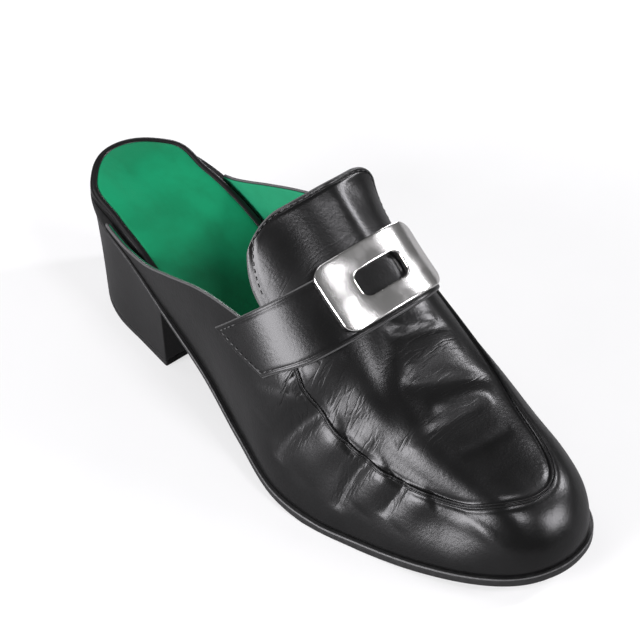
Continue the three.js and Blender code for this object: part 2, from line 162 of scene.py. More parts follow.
@dataclass(frozen=True)
class Last:
    """The form that the shoe is made on, as sections from heel to toe.

    Each row of the table is one section: t is its share of the length, lateral and medial are half
    widths at the feather edge, feather and ridge are heights, ridge_x leans the ridge, side and
    top are the section's exponents, swell_l and swell_m round the walls out, and sole is the
    outsole's thickness.
    """

    length: float = 245.0
    columns: tuple[str, ...] = (
        "t", "lateral", "medial", "feather", "ridge", "ridge_x", "side", "top",
        "swell_l", "swell_m", "sole",
    )
    rows: tuple[tuple[float, ...], ...] = (
        (0.00, 0.0, 0.0, 49.5, 112.0, 0.0, 0.62, 0.62, 0.0, 0.0, 1.8),
        (0.03, 15.0, 15.8, 49.3, 112.0, 0.0, 0.62, 0.62, 0.0, 0.0, 1.8),
        (0.07, 22.8, 22.6, 48.6, 112.0, 0.0, 0.64, 0.64, 0.0, 0.0, 1.8),
        (0.12, 27.6, 25.4, 46.6, 112.0, 0.0, 0.66, 0.66, 0.0, 1.0, 1.8),
        (0.20, 30.2, 26.4, 42.2, 112.0, 1.0, 0.70, 0.70, 1.0, 3.0, 1.9),
        (0.30, 33.2, 25.6, 34.0, 112.0, 2.5, 0.78, 0.78, 2.0, 7.0, 2.1),
        (0.40, 35.8, 25.4, 24.2, 108.0, 4.2, 0.86, 0.80, 3.5, 8.5, 2.5),
        (0.50, 40.4, 28.4, 13.2, 97.5, 5.5, 0.88, 0.80, 3.0, 7.0, 2.9),
        (0.60, 45.0, 34.8, 5.8, 80.0, 6.0, 0.84, 0.82, 0.5, 1.0, 3.4),
        (0.68, 43.2, 39.6, 3.6, 65.5, 5.2, 0.80, 0.82, 0.0, -1.0, 4.0),
        (0.75, 38.6, 40.3, 3.9, 55.0, 4.8, 0.76, 0.82, 0.0, -1.5, 4.0),
        (0.82, 33.4, 38.2, 4.9, 46.2, 4.4, 0.74, 0.80, 0.0, -1.5, 4.0),
        (0.88, 27.7, 34.6, 6.4, 39.8, 4.2, 0.74, 0.80, 0.0, 0.0, 3.9),
        (0.94, 20.0, 28.8, 8.6, 33.2, 4.1, 0.76, 0.80, 0.0, 0.3, 3.8),
        (0.98, 11.6, 19.9, 10.6, 24.8, 4.0, 0.80, 0.84, 0.0, 0.0, 3.7),
        (1.00, -3.9, 3.9, 11.6, 11.6, 3.9, 0.85, 0.85, 0.0, 0.0, 3.6),
    )

    def size(self, name: str, distance: Array) -> Array:
        """One size of the sections at a distance: a smooth curve in the angle acos(1 - 2t).

        Args:
            name: The table's column.
            distance: Distances from the back of the heel.

        Returns:
            The size at each distance.
        """
        table = np.array(self.rows)
        angle = np.arccos(1 - 2 * table[:, 0])
        t = np.clip(np.asarray(distance, float) / self.length, 0, 1)
        return smooth_curve(angle, table[:, self.columns.index(name)], np.arccos(1 - 2 * t))

    def point(self, distance: Array, side: Array, girth: Array) -> Array:
        """A place on the last's surface.

        The half width falls as the cosine of the girth's quarter turn to the power side, the
        height rises as its sine to the power top, and the walls swell by the sine of twice it.

        Args:
            distance: Distance from the back of the heel.
            side: -1 for the lateral wall or 1 for the medial wall.
            girth: 0 at the feather edge to 1 at the ridge.

        Returns:
            Places (x, distance, height), with the shape of the arguments and a last axis of 3.
        """
        distance, side, girth = np.broadcast_arrays(distance, side, girth)
        ridge_x = self.size("ridge_x", distance)
        feather = self.size("feather", distance)
        medial = side > 0
        half = np.where(
            medial, self.size("medial", distance) - ridge_x, self.size("lateral", distance) + ridge_x
        )
        swell = np.where(medial, self.size("swell_m", distance), self.size("swell_l", distance))
        turn = np.clip(girth, 0, 1) * np.pi / 2
        out = half * np.abs(np.cos(turn)) ** self.size("side", distance)
        up = np.sin(turn) ** self.size("top", distance)
        x = ridge_x + side * (out + swell * np.sin(2 * turn))
        height = feather + (self.size("ridge", distance) - feather) * up
        return np.stack([x, distance * np.ones_like(x), height], -1)

    def normal(self, distance: Array, side: Array, girth: Array) -> Array:
        """Outward unit normals: the cross product of small steps along and up the wall.

        Args:
            distance: Distance from the back of the heel.
            side: -1 for the lateral wall or 1 for the medial wall.
            girth: 0 at the feather edge to 1 at the ridge.

        Returns:
            Normals, which turn straight forward over the last 1.5 mm of the toe.
        """
        distance, side, girth = (np.asarray(a, float) for a in (distance, side, girth))
        along_step, girth_step = 0.6, 0.006
        ahead = np.minimum(distance + along_step, self.length - 0.02)
        behind = np.maximum(ahead - 2 * along_step, 0.1)
        girth = np.clip(girth, 0.02, 0.985)
        along = self.point(ahead, side, girth) - self.point(behind, side, girth)
        up = self.point(distance, side, girth + girth_step)
        up = up - self.point(distance, side, girth - girth_step)
        normal = unit(np.cross(along, up) * side[..., None])
        toe = smoothstep(distance, self.length - 1.5, self.length)[..., None]
        return unit(normal * (1 - toe) + toe * np.array([0.0, 1.0, 0.0]))

    def girth_at_height(self, distance: Array, height: Array) -> Array:
        """The girth where the wall reaches a height: the inverse of the section's rise.

        Args:
            distance: Distance from the back of the heel.
            height: Height above the ground.

        Returns:
            Girths from 0 to 1.
        """
        feather = self.size("feather", distance)
        rise = (height - feather) / np.maximum(self.size("ridge", distance) - feather, 1e-9)
        sine = np.clip(rise, 0, 1) ** (1 / self.size("top", distance))
        return np.arcsin(sine) * 2 / np.pi

    def girth_at_x(self, distance: Array, x: Array) -> tuple[Array, Array]:
        """The side and girth of the upper surface above a place in plan, by halving.

        Args:
            distance: Distance from the back of the heel.
            x: How far to the medial side.

        Returns:
            The side, -1 or 1, and the girth from 0.3 to 1.
        """
        side = np.where(x < self.size("ridge_x", distance), -1.0, 1.0)
        low = np.full_like(side, 0.3)
        high = np.ones_like(side)
        for _ in range(30):
            middle = (low + high) / 2
            outside = (self.point(distance, side, middle)[..., 0] - x) * side > 0
            low = np.where(outside, middle, low)
            high = np.where(outside, high, middle)
        return side, low

    def slant(self, number: Array, side: Array, girth: Array) -> Array:
        """Distances where the line (distance - height = number) crosses a girth, by halving.

        Args:
            number: The slanting line's number.
            side: -1 or 1.
            girth: 0 at the feather edge to 1 at the ridge.

        Returns:
            Distances from the back of the heel, between 60 and 230 mm.
        """
        number, side, girth = np.broadcast_arrays(number, side, girth)
        low = np.full(number.shape, 60.0)
        high = np.full(number.shape, 230.0)
        for _ in range(36):
            middle = (low + high) / 2
            short = middle - self.point(middle, side, girth)[..., 2] < number
            low = np.where(short, middle, low)
            high = np.where(short, high, middle)
        return low

    def edge(self, t: Array, side: int, offset: Array) -> Array:
        """The feather edge in plan, moved outwards along its own normal.

        Args:
            t: Shares of the length, heel to toe.
            side: -1 or 1.
            offset: How far outwards, one value or one for each t.

        Returns:
            Places (x, distance) of shape (len(t), 2).
        """
        name = "medial" if side > 0 else "lateral"
        step = np.clip(np.minimum(t, 1 - t), 1e-7, 0.004) / 2
        low, high = np.clip(t - step, 0, 1), np.clip(t + step, 0, 1)

        def plan(share: Array) -> Array:
            """The feather edge at a share of the length."""
            return np.stack([side * self.size(name, share * self.length), share * self.length], 1)

        along = unit(plan(high) - plan(low))
        normal = np.stack([side * along[:, 1], -side * along[:, 0]], 1)
        normal[t <= 0] = (0, -1)
        normal[t >= 1] = (0, 1)
        return plan(t) + normal * np.broadcast_to(offset, t.shape)[:, None]


LAST = Last()


def shoe_origin() -> tuple[float, float]:
    """Where the shoe's own zero lies in the frame, from the boxes of the upper and the outsole.

    Returns:
        The frame's x where x is 0, and its y where distance is 0, in millimetres.
    """
    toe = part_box("upper")[0].y / MM + LAST.length
    t = np.linspace(0.5, 0.75, 400)
    widest = LAST.edge(t, Side.LATERAL.value, 1.5)[:, 0].min()
    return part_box("outsole")[0].x / MM - widest, toe


ORIGIN_X, ORIGIN_Y = shoe_origin()


def to_frame(places: Array) -> Array:
    """Turns places into points of the frame.

    Args:
        places: Places (x, distance, height) in millimetres.

    Returns:
        Points in metres: distance runs against the frame's y.
    """
    x = (places[..., 0] + ORIGIN_X) * MM
    y = (ORIGIN_Y - places[..., 1]) * MM
    return np.stack([x, y, places[..., 2] * MM], -1)


# ---- meshes ---------------------------------------------------------------------------------


def grid_faces(rows: int, columns: int, wrap_rows: bool = False, wrap_columns: bool = False) -> Array:
    """Quads between the rows of a grid.

    Args:
        rows: Number of rows.
        columns: Number of columns.
        wrap_rows: Whether the last row joins the first.
        wrap_columns: Whether the last column joins the first.

    Returns:
        Vertex numbers of shape (faces, 4).
    """
    ids = np.arange(rows * columns).reshape(rows, columns)
    near = ids if wrap_rows else ids[:-1]
    far = np.roll(ids, -1, 0) if wrap_rows else ids[1:]
    if wrap_columns:
        quads = np.stack([near, np.roll(near, -1, 1), np.roll(far, -1, 1), far], -1)
    else:
        quads = np.stack([near[:, :-1], near[:, 1:], far[:, 1:], far[:, :-1]], -1)
    return quads.reshape(-1, 4)


class Surface:
    """Places and quads gathered from grids, with values per vertex, merged where they coincide."""

    def __init__(self) -> None:
        """Starts with nothing."""
        self.places = np.empty((0, 3))
        self.faces = np.empty((0, 4), int)
        self.marks: dict[str, Array] = {}

    def add(self, places: Array, faces: Array, **marks: Array) -> "Surface":
        """Adds vertices and quads.

        Args:
            places: Places, of any shape that ends in 3.
            faces: Quads that number the flattened places.
            **marks: Values per vertex; every call gives the same names.

        Returns:
            This surface.
        """
        flat = places.reshape(-1, 3)
        self.faces = np.concatenate([self.faces, faces + len(self.places)])
        self.places = np.concatenate([self.places, flat])
        for name, values in marks.items():
            spread = np.broadcast_to(values, places.shape[:-1]).ravel()
            self.marks[name] = np.concatenate([self.marks.get(name, np.empty(0)), spread])
        return self

    def grid(
        self, grid: Array, wrap_rows: bool = False, wrap_columns: bool = False, flip: bool = False,
        **marks: Array,
    ) -> "Surface":
        """Adds a grid of places, of shape (rows, columns, 3), with its faces turned if flip."""
        faces = grid_faces(*grid.shape[:2], wrap_rows, wrap_columns)
        return self.add(grid, faces[:, ::-1] if flip else faces, **marks)

    def merged(self, within: float = 1e-3) -> "Surface":
        """Welds vertices that coincide.

        Args:
            within: How near in millimetres counts as the same place.

        Returns:
            A new surface, whose vertices keep the first of their values.
        """
        keys = np.round(self.places / within).astype(np.int64)
        _, first, inverse = np.unique(keys, axis=0, return_index=True, return_inverse=True)
        one = Surface()
        one.places = self.places[first]
        one.faces = inverse.reshape(-1)[self.faces]
        one.marks = {name: values[first] for name, values in self.marks.items()}
        return one

    def normals(self) -> Array:
        """Unit normals per vertex: the sum of the crossed diagonals of the quads round it.

        Returns:
            An array of the places' shape.
        """
        a, b, c, d = self.places[self.faces.T]
        crossed = np.cross(c - a, d - b)
        total = np.zeros_like(self.places)
        for corner in self.faces.T:
            np.add.at(total, corner, crossed)
        return unit(total)

    def facing(self, inside: Sequence[float]) -> "Surface":
        """Turns the faces so that most normals point away from a place inside.

        Args:
            inside: A place that the surface surrounds.

        Returns:
            This surface.
        """
        outward = self.places - np.array(inside)
        if (self.normals() * outward).sum() < 0:
            self.faces = self.faces[:, ::-1]
        return self

    def moved(self, offset: Array | float) -> "Surface":
        """A copy moved along its own normals.

        Args:
            offset: How far, one distance or one for each vertex.

        Returns:
            The new surface.
        """
        copy = Surface()
        offset = np.broadcast_to(offset, len(self.places))
        copy.places = self.places + self.normals() * offset[:, None]
        copy.faces = self.faces
        copy.marks = dict(self.marks)
        return copy

    def thick(self, half: Array) -> "Surface":
        """A closed sheet round this surface.

        Args:
            half: Half thickness per vertex, which is 0 at the border.

        Returns:
            The new surface, with its two faces welded along the border.
        """
        reach = self.normals() * half[:, None]
        closed = Surface()
        closed.add(self.places + reach, self.faces, **self.marks)
        closed.add(self.places - reach, self.faces[:, ::-1], **self.marks)
        return closed.merged()

    def build(self, name: str) -> bpy.types.Object:
        """Makes the object: points in metres, faces turned out, smooth shading.

        Args:
            name: The piece's name.

        Returns:
            The new object, at the origin, linked to the scene.
        """
        one = self.merged()
        keep = one.faces != np.roll(one.faces, -1, 1)
        size = keep.sum(1)
        whole = size >= 3
        loops = one.faces[whole][keep[whole]]
        size = size[whole]
        mesh = bpy.data.meshes.new(name)
        mesh.vertices.add(len(one.places))
        mesh.vertices.foreach_set("co", to_frame(one.places).astype(np.float32).ravel())
        mesh.loops.add(len(loops))
        mesh.loops.foreach_set("vertex_index", loops.astype(np.int32))
        mesh.polygons.add(len(size))
        starts = np.concatenate([[0], np.cumsum(size)[:-1]])
        mesh.polygons.foreach_set("loop_start", starts.astype(np.int32))
        mesh.polygons.foreach_set("loop_total", size.astype(np.int32))
        for key, values in one.marks.items():
            layer = mesh.attributes.new(key, "FLOAT", "POINT")
            layer.data.foreach_set("value", values.astype(np.float32))
        mesh.update(calc_edges=True)
        mesh.validate(clean_customdata=False)
        turn_outwards(mesh)
        mesh.polygons.foreach_set("use_smooth", np.ones(len(mesh.polygons), bool))
        piece = bpy.data.objects.new(name, mesh)
        bpy.context.scene.collection.objects.link(piece)
        return piece


def turn_outwards(mesh: bpy.types.Mesh) -> None:
    """Flips a closed mesh whose volume, summed over cones from the origin, is negative.

    Args:
        mesh: The mesh.
    """
    mesh.calc_loop_triangles()
    corners = np.empty(len(mesh.loop_triangles) * 3, np.int32)
    mesh.loop_triangles.foreach_get("vertices", corners)
    points = np.empty(len(mesh.vertices) * 3, np.float32)
    mesh.vertices.foreach_get("co", points)
    a, b, c = points.reshape(-1, 3)[corners.reshape(-1, 3)].transpose(1, 0, 2).astype(float)
    if np.einsum("ij,ij->i", a, np.cross(b, c)).sum() < 0:
        mesh.flip_normals()


def even_columns(arc: Array, values: Array, first: Array, last: Array, middle: int) -> Array:
    """Respaces each row of a grid: set distances from both ends, and even steps between them.

    Args:
        arc: Length along each row, of shape (rows, samples), increasing from 0.
        values: The value to respace, of the same shape.
        first: Distances from a row's start, increasing from 0.
        last: Distances from a row's end, increasing from 0.
        middle: Number of steps between the two sets.

    Returns:
        The values at the new places, of shape (rows, columns). Short rows squeeze the distances.
    """
    length = arc[:, -1:]
    near = first[None] * np.minimum(1, 0.4 * length / first[-1])
    far = last[None] * np.minimum(1, 0.4 * length / last[-1])
    share = np.linspace(0, 1, middle + 1)[None]
    between = near[:, -1:] + (length - far[:, -1:] - near[:, -1:]) * share
    place = np.concatenate([near[:, :-1], between, (length - far)[:, ::-1][:, 1:]], 1)
    shift = 1000.0 * np.arange(len(arc))[:, None]
    spread = np.interp((place + shift).ravel(), (arc + shift).ravel(), values.ravel())
    return spread.reshape(place.shape)


def arc_length(grid: Array, axis: int = 1) -> Array:
    """Length along a grid, summed from point to point.

    Args:
        grid: Places, of shape (rows, columns, 3).
        axis: 1 to run along the rows or 0 to run along the columns.

    Returns:
        Lengths from 0, of shape (rows, columns).
    """
    step = np.linalg.norm(np.diff(grid, axis=axis), axis=-1)
    start = np.zeros_like(np.take(step, [0], axis))
    return np.concatenate([start, np.cumsum(step, axis)], axis)


def tube(path: Array, up: Array, section: Array, closed: bool = False) -> Surface:
    """Carries a closed section along a path.

    Args:
        path: Places along the path, of shape (n, 3).
        up: Unit vectors that the section's second axis follows.
        section: Points of the section, of shape (m, 2), across and up.
        closed: Whether the path is a loop. An open path gets rounded ends.

    Returns:
        The surface.
    """
    if closed:
        along = unit(np.roll(path, -1, 0) - np.roll(path, 1, 0))
        scale = np.ones(len(path))
    else:
        along = unit(np.gradient(path, axis=0))
        scale = edge_round(np.minimum(np.arange(len(path)), np.arange(len(path))[::-1]), 3.0)
    across = unit(np.cross(up, along))
    lift = np.cross(along, across)
    ring = across[:, None] * section[None, :, :1] + lift[:, None] * section[None, :, 1:]
    grid = path[:, None] + ring * scale[:, None, None]
    return Surface().grid(grid, wrap_rows=closed, wrap_columns=True)


def stitches(path: Array, up: Array, length: float, gap: float, radius: float) -> Surface:
    """A run of separate stitches: short capsules that rise and dip along a path.

    Args:
        path: Dense places along the seam.
        up: Unit normals of the leather there.
        length: Length of one stitch.
        gap: Space between two stitches.
        radius: Radius of the thread.

    Returns:
        A surface with every stitch in it.
    """
    pace = arc_length(path[None])[0]
    starts = np.arange(gap, pace[-1] - length, length + gap)
    share = np.linspace(0, 1, 6)
    at = starts[:, None] + share * length
    centre = np.stack([np.interp(at, pace, path[:, k]) for k in range(3)], -1)
    lift = unit(np.stack([np.interp(at, pace, up[:, k]) for k in range(3)], -1))
    across = unit(np.cross(lift, unit(centre[:, -1:] - centre[:, :1])))
    centre = centre + lift * (radius * (1.3 * np.sin(np.pi * share) - 0.4))[None, :, None]
    swell = edge_round(np.minimum(share, share[::-1]), 0.3) * radius
    turn = np.linspace(0, 2 * np.pi, 6, endpoint=False)[:, None]
    ring = across[:, :, None] * np.cos(turn) + lift[:, :, None] * np.sin(turn)
    grid = centre[:, :, None] + ring * swell[None, :, None, None]
    faces = grid_faces(6, 6, wrap_columns=True)
    block = 36 * np.arange(len(starts))[:, None, None]
    return Surface().add(grid, (faces[None] + block).reshape(-1, 4))


# ---- shader words ---------------------------------------------------------------------------


class Wire:
    """A shader socket that Python expressions can add, take and multiply."""

    def __init__(self, sketch: "Sketch", socket: bpy.types.NodeSocket) -> None:
        """Wraps a socket of the sketch's node tree."""
        self.sketch = sketch
        self.socket = socket

    def _math(self, operation: str, first: "Wire | float", second: "Wire | float") -> "Wire":
        """One Math node."""
        return self.sketch.node("ShaderNodeMath", {"operation": operation}, {0: first, 1: second})

    def __add__(self, other: "Wire | float") -> "Wire":
        """self + other."""
        return self._math("ADD", self, other)

    def __radd__(self, other: float) -> "Wire":
        """other + self."""
        return self._math("ADD", other, self)

    def __sub__(self, other: "Wire | float") -> "Wire":
        """self - other."""
        return self._math("SUBTRACT", self, other)

    def __rsub__(self, other: float) -> "Wire":
        """other - self."""
        return self._math("SUBTRACT", other, self)

    def __mul__(self, other: "Wire | float") -> "Wire":
        """self * other."""
        return self._math("MULTIPLY", self, other)

    def __rmul__(self, other: float) -> "Wire":
        """other * self."""
        return self._math("MULTIPLY", other, self)

    def __abs__(self) -> "Wire":
        """self without its sign."""
        return self._math("ABSOLUTE", self, 0.0)


class Sketch:
    """A material being drawn: its node tree and the words used to fill it."""

    def __init__(self, name: str) -> None:
        """Starts an empty material with a Principled shader.

        Args:
            name: The material's name.
        """
        self.material = bpy.data.materials.new(name)
        self.material.use_nodes = True
        self.tree = self.material.node_tree
        self.tree.nodes.clear()
        self.shader = self.tree.nodes.new("ShaderNodeBsdfPrincipled")
        output = self.tree.nodes.new("ShaderNodeOutputMaterial")
        self.tree.links.new(self.shader.outputs["BSDF"], output.inputs["Surface"])

    def node(
        self, kind: str, settings: dict[str, object], sockets: dict[object, object], out: object = 0,
    ) -> Wire:
        """Adds any node.

        Args:
            kind: The node's type.
            settings: Its settings, which are set before its sockets.
            sockets: Values or wires for its inputs, by name or number.
            out: Which output is wanted.

        Returns:
            The output as a wire.
        """
        node = self.tree.nodes.new(kind)
        for key, value in settings.items():
            setattr(node, key, value)
        for key, value in sockets.items():
            self.plug(node.inputs[key], value)
        return Wire(self, node.outputs[out])

    def plug(self, socket: bpy.types.NodeSocket, value: object) -> None:
        """Links a wire to a socket, or sets the socket's own value.

        Args:
            socket: The socket to fill.
            value: A wire, or a plain value.
        """
        if isinstance(value, Wire):
            self.tree.links.new(value.socket, socket)
        else:
            socket.default_value = value

    def set(self, **sockets: object) -> None:
        """Sets or links the shader's own sockets; an underscore stands for a space."""
        for key, value in sockets.items():
            self.plug(self.shader.inputs[key.replace("_", " ")], value)

    def place(self, scale: tuple[float, float, float] = (1, 1, 1), turn: float = 0.0) -> Wire:
        """Object coordinates, turned about Z and scaled along each axis.

        Args:
            scale: Scale along each axis.
            turn: Turn about Z in radians.

        Returns:
            The coordinates as a wire.
        """
        coords = self.node("ShaderNodeTexCoord", {}, {}, "Object")
        return self.node(
            "ShaderNodeMapping", {}, {"Vector": coords, "Rotation": (0, 0, turn), "Scale": scale}
        )

    def noise(self, where: Wire, scale: float, detail: float = 3.0, rough: float = 0.5) -> Wire:
        """Noise from 0 to 1."""
        sockets = {"Vector": where, "Scale": scale, "Detail": detail, "Roughness": rough}
        return self.node("ShaderNodeTexNoise", {}, sockets)

    def cells(self, where: Wire, scale: float, feature: str = "F1") -> Wire:
        """Distance in a field of cells, as leather's grain has."""
        sockets = {"Vector": where, "Scale": scale}
        return self.node("ShaderNodeTexVoronoi", {"feature": feature}, sockets, "Distance")

    def mark(self, name: str) -> Wire:
        """A value stored on the piece's vertices."""
        return self.node("ShaderNodeAttribute", {"attribute_name": name}, {}, "Fac")

    def fade(self, value: Wire, low: float, high: float) -> Wire:
        """0 below low, 1 above high, smooth between."""
        sockets = {"Value": value, "From Min": low, "From Max": high}
        return self.node("ShaderNodeMapRange", {"interpolation_type": "SMOOTHSTEP"}, sockets)

    def blend(self, share: Wire, first: object, second: object) -> Wire:
        """A colour between two colours."""
        settings = {"data_type": "RGBA"}
        return self.node("ShaderNodeMix", settings, {0: share, 6: first, 7: second}, 2)

    def bump(self, height: Wire, depth: float, under: Wire | None = None) -> Wire:
        """A normal from a height field.

        Args:
            height: Heights, where 1 stands for depth.
            depth: Depth in millimetres.
            under: A normal that the bump lies on.

        Returns:
            The bumped normal.
        """
        sockets = {"Height": height, "Distance": depth * MM, "Strength": 1.0}
        if under is not None:
            sockets["Normal"] = under
        return self.node("ShaderNodeBump", {}, sockets)


Colour = tuple[float, float, float, float]


def grey(value: float) -> Colour:
    """An opaque grey."""
    return (value, value, value, 1.0)


# ---- finishes -------------------------------------------------------------------------------


@dataclass(frozen=True)
class Calf:
    """Smooth black calf with a soft shine.

    The leather undulates a little, has a fine grain, and wrinkles across the foot where the
    vertices are marked as worn. rough is its roughness and rubbed what creases and edges reach.
    Its edges can be painted a lighter grey: a painted highlight that stands for the catch light on
    a rolled edge.
    """

    name: str
    colour: Colour = grey(0.0035)
    worn_colour: Colour = grey(0.010)
    # The lighter grey painted along the edges is a painted highlight.
    edge_highlight_colour: Colour = grey(0.10)
    rough: float = 0.275
    rubbed: float = 0.38
    grain: float = 1.1
    grain_depth: float = 0.038
    dent: float = 9.0
    dent_depth: float = 0.09
    wrinkle_depth: float = 0.0
    specular: float = 0.30
    painted_edge_highlight: bool = False

    def material(self) -> bpy.types.Material:
        """Draws the leather.

        Returns:
            The material.
        """
        s = Sketch(self.name)
        where = s.place()
        dents = s.noise(where, 1 / (self.dent * MM), 2.0, 0.45)
        pores = s.cells(where, 1 / (self.grain * MM), "SMOOTH_F1")
        fine = s.noise(where, 1 / (0.45 * self.grain * MM), 2.0, 0.6)
        soft = s.bump(dents, self.dent_depth)
        height = pores * 0.7 + fine * 0.6
        worn = s.fade(s.mark("worn"), 0.05, 0.9)
        if self.wrinkle_depth:
            across = s.place((0.16, 1.0, 0.24), 0.12)
            ridged = s.noise(across, 1 / (3.0 * MM), 2.0, 0.5)
            crease = 1 - s.fade(abs(ridged - 0.5), 0, 0.07)
            height = height - crease * worn * (self.wrinkle_depth / self.grain_depth)
        mottle = s.noise(where, 1 / (22 * MM), 3.0)
        share = s.fade(mottle, 0.35, 0.7) * 0.35 + worn * 0.5
        colour = s.blend(share, self.colour, self.worn_colour)
        # Painted highlight: a lighter grey along the edges stands for the catch light on the rolled edge.
        if self.painted_edge_highlight:
            rim = 1 - s.fade(s.mark("edge"), 0.25, 0.8)
            colour = s.blend(rim * 0.8, colour, self.edge_highlight_colour)
        s.set(
            Base_Color=colour,
            Roughness=self.rough + share * (self.rubbed - self.rough),
            Normal=s.bump(height, self.grain_depth, under=soft),
            Specular_IOR_Level=self.specular,
        )
        return s.material


@dataclass(frozen=True)
class Dyed:
    """Matte dyed leather for the sock and the linings, a little uneven in tone."""

    name: str
    colour: Colour
    deep: Colour
    rough: float = 0.5
    grain: float = 0.8
    grain_depth: float = 0.03

    def material(self) -> bpy.types.Material:
        """Draws the leather.

        Returns:
            The material.
        """
        s = Sketch(self.name)
        where = s.place()
        tone = s.noise(where, 1 / (26 * MM), 4.0, 0.55)
        smear = s.noise(s.place((1.0, 0.35, 1.0), 0.3), 1 / (7 * MM), 3.0, 0.6)
        share = s.fade(tone, 0.35, 0.68) * 0.65 + s.fade(smear, 0.45, 0.75) * 0.25
        pores = s.cells(where, 1 / (self.grain * MM))
        fine = s.noise(where, 1 / (0.3 * self.grain * MM), 2.0)
        soft = s.bump(s.noise(where, 1 / (12 * MM), 2.0), 0.15)
        s.set(
            Base_Color=s.blend(share, self.colour, self.deep),
            Roughness=self.rough + fine * 0.08,
            Normal=s.bump(pores * 0.6 + fine * 0.5, self.grain_depth, under=soft),
            Specular_IOR_Level=0.22,
        )
        return s.material


@dataclass(frozen=True)
class Polished:
    """Polished metal with hairline scratches and faint smudges."""

    name: str
    colour: Colour = (0.86, 0.85, 0.83, 1.0)
    rough: float = 0.15

    def material(self) -> bpy.types.Material:
        """Draws the metal.

        Returns:
            The material.
        """
        s = Sketch(self.name)
        smudge = s.fade(s.noise(s.place(), 1 / (8 * MM), 3.0), 0.4, 0.7)
        hairs = s.noise(s.place((1.0, 0.06, 0.06), 0.4), 1 / (0.35 * MM), 2.0, 0.7)
        s.set(
            Base_Color=self.colour,
            Metallic=1.0,
            Roughness=self.rough + smudge * 0.06 + hairs * 0.03,
            Normal=s.bump(hairs, 0.004),
        )
        return s.material


@dataclass(frozen=True)
class Plain:
    """An even material with a fine unevenness: sole edge, top lift, thread and floor.

    glow is light of its own that only the camera sees, and far_glow what it fades to well away
    from the origin, so that the floor's far edge meets the surround.
    """

    name: str
    colour: Colour
    other: Colour
    rough: float
    scale: float = 3.0
    depth: float = 0.03
    specular: float = 0.5
    glow: float = 0.0
    far_glow: float = 0.0
    glow_fade: tuple[float, float] = (0.2, 1.8)

    def material(self) -> bpy.types.Material:
        """Draws the material.

        Returns:
            The material.
        """
        s = Sketch(self.name)
        where = s.place()
        tone = s.noise(where, 1 / (self.scale * MM), 3.0, 0.6)
        s.set(
            Base_Color=s.blend(s.fade(tone, 0.35, 0.7), self.colour, self.other),
            Roughness=self.rough + tone * 0.08,
            Normal=s.bump(tone, self.depth),
            Specular_IOR_Level=self.specular,
        )
        if self.glow:
            seen = s.node("ShaderNodeLightPath", {}, {}, "Is Camera Ray")
            away = s.node("ShaderNodeVectorMath", {"operation": "LENGTH"}, {0: where}, "Value")
            level = s.blend(s.fade(away, *self.glow_fade), grey(self.glow), grey(self.far_glow))
            s.set(Emission_Color=s.blend(seen, grey(0.0), level), Emission_Strength=1.0)
        return s.material


GREEN = (0.002, 0.235, 0.100, 1.0)
DEEP_GREEN = (0.001, 0.150, 0.060, 1.0)
LINING_GREEN = (0.008, 0.185, 0.088, 1.0)
DEEP_LINING_GREEN = (0.004, 0.125, 0.056, 1.0)

# The upper and the strap get the painted highlight along their edges.
UPPER_CALF = Calf("upper_calf", wrinkle_depth=0.07, painted_edge_highlight=True)
STRAP_CALF = Calf("strap_calf", wrinkle_depth=0.03, painted_edge_highlight=True)
TRIM_CALF = Calf("trim_calf", grain=0.8, rough=0.33)
HEEL_CALF = Calf("heel_calf", colour=grey(0.007), rough=0.40, rubbed=0.48, dent_depth=0.08)
SOCK = Dyed("sock_leather", GREEN, DEEP_GREEN)
LINING = Dyed("lining_leather", LINING_GREEN, DEEP_LINING_GREEN, rough=0.55)
SOLE = Plain("sole_edge", grey(0.006), grey(0.012), 0.42, 2.2, 0.05)
# Pale grey for the line along the sole's edge: a painted highlight.
SOLE_EDGE_HIGHLIGHT = Plain("sole_edge_highlight", grey(0.05), grey(0.09), 0.45, 1.2, 0.03)
LIFT = Plain("lift_rubber", grey(0.008), grey(0.012), 0.7, 1.0, 0.05, 0.3)
THREAD = Plain("thread", grey(0.035), grey(0.07), 0.55, 0.4, 0.05)
SILVER = Polished("polished_steel")
FLOOR = Plain("floor_paper", grey(0.36), grey(0.37), 0.8, 60.0, 0.0, 0.1, glow=0.58, far_glow=0.88)


class Wardrobe:
    """Finishes as materials, each drawn once."""

    def __init__(self) -> None:
        """Starts with none."""
        self.made: dict[str, bpy.types.Material] = {}

    def dress(self, piece: bpy.types.Object, finish: Calf | Dyed | Polished | Plain) -> None:
        """Gives a piece its finish.

        Args:
            piece: The piece.
            finish: The finish, whose material is drawn the first time it is worn.
        """
        if finish.name not in self.made:
            self.made[finish.name] = finish.material()
        piece.data.materials.append(self.made[finish.name])


WARDROBE = Wardrobe()


def finish_piece(
    surface: Surface, name: str, finish: Calf | Dyed | Polished | Plain, slot: Slot,
    replaces: Sequence[str] = (),
) -> bpy.types.Object:
    """Args:
        surface: Its closed surface.
        name: Its name.
        finish: Its finish.
        slot: The record's material slot that the finish belongs to; not used.
        replaces: CAD nodes that it stands for.

    Returns:
        The object.
    """
    piece = surface.build(name)
    WARDROBE.dress(piece, finish)
    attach(piece, BODY)
    if replaces:
        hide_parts(*replaces)
    log.info("%s: %d faces", name, len(piece.data.polygons))
    return piece


# ---- wear -----------------------------------------------------------------------------------


def on_last(distance: Array, wall: Array) -> Array:
    """Places from a distance and a wall place: -1 lateral feather, 0 ridge, 1 medial feather."""
    return LAST.point(distance, np.where(wall < 0, -1.0, 1.0), 1 - np.abs(wall))


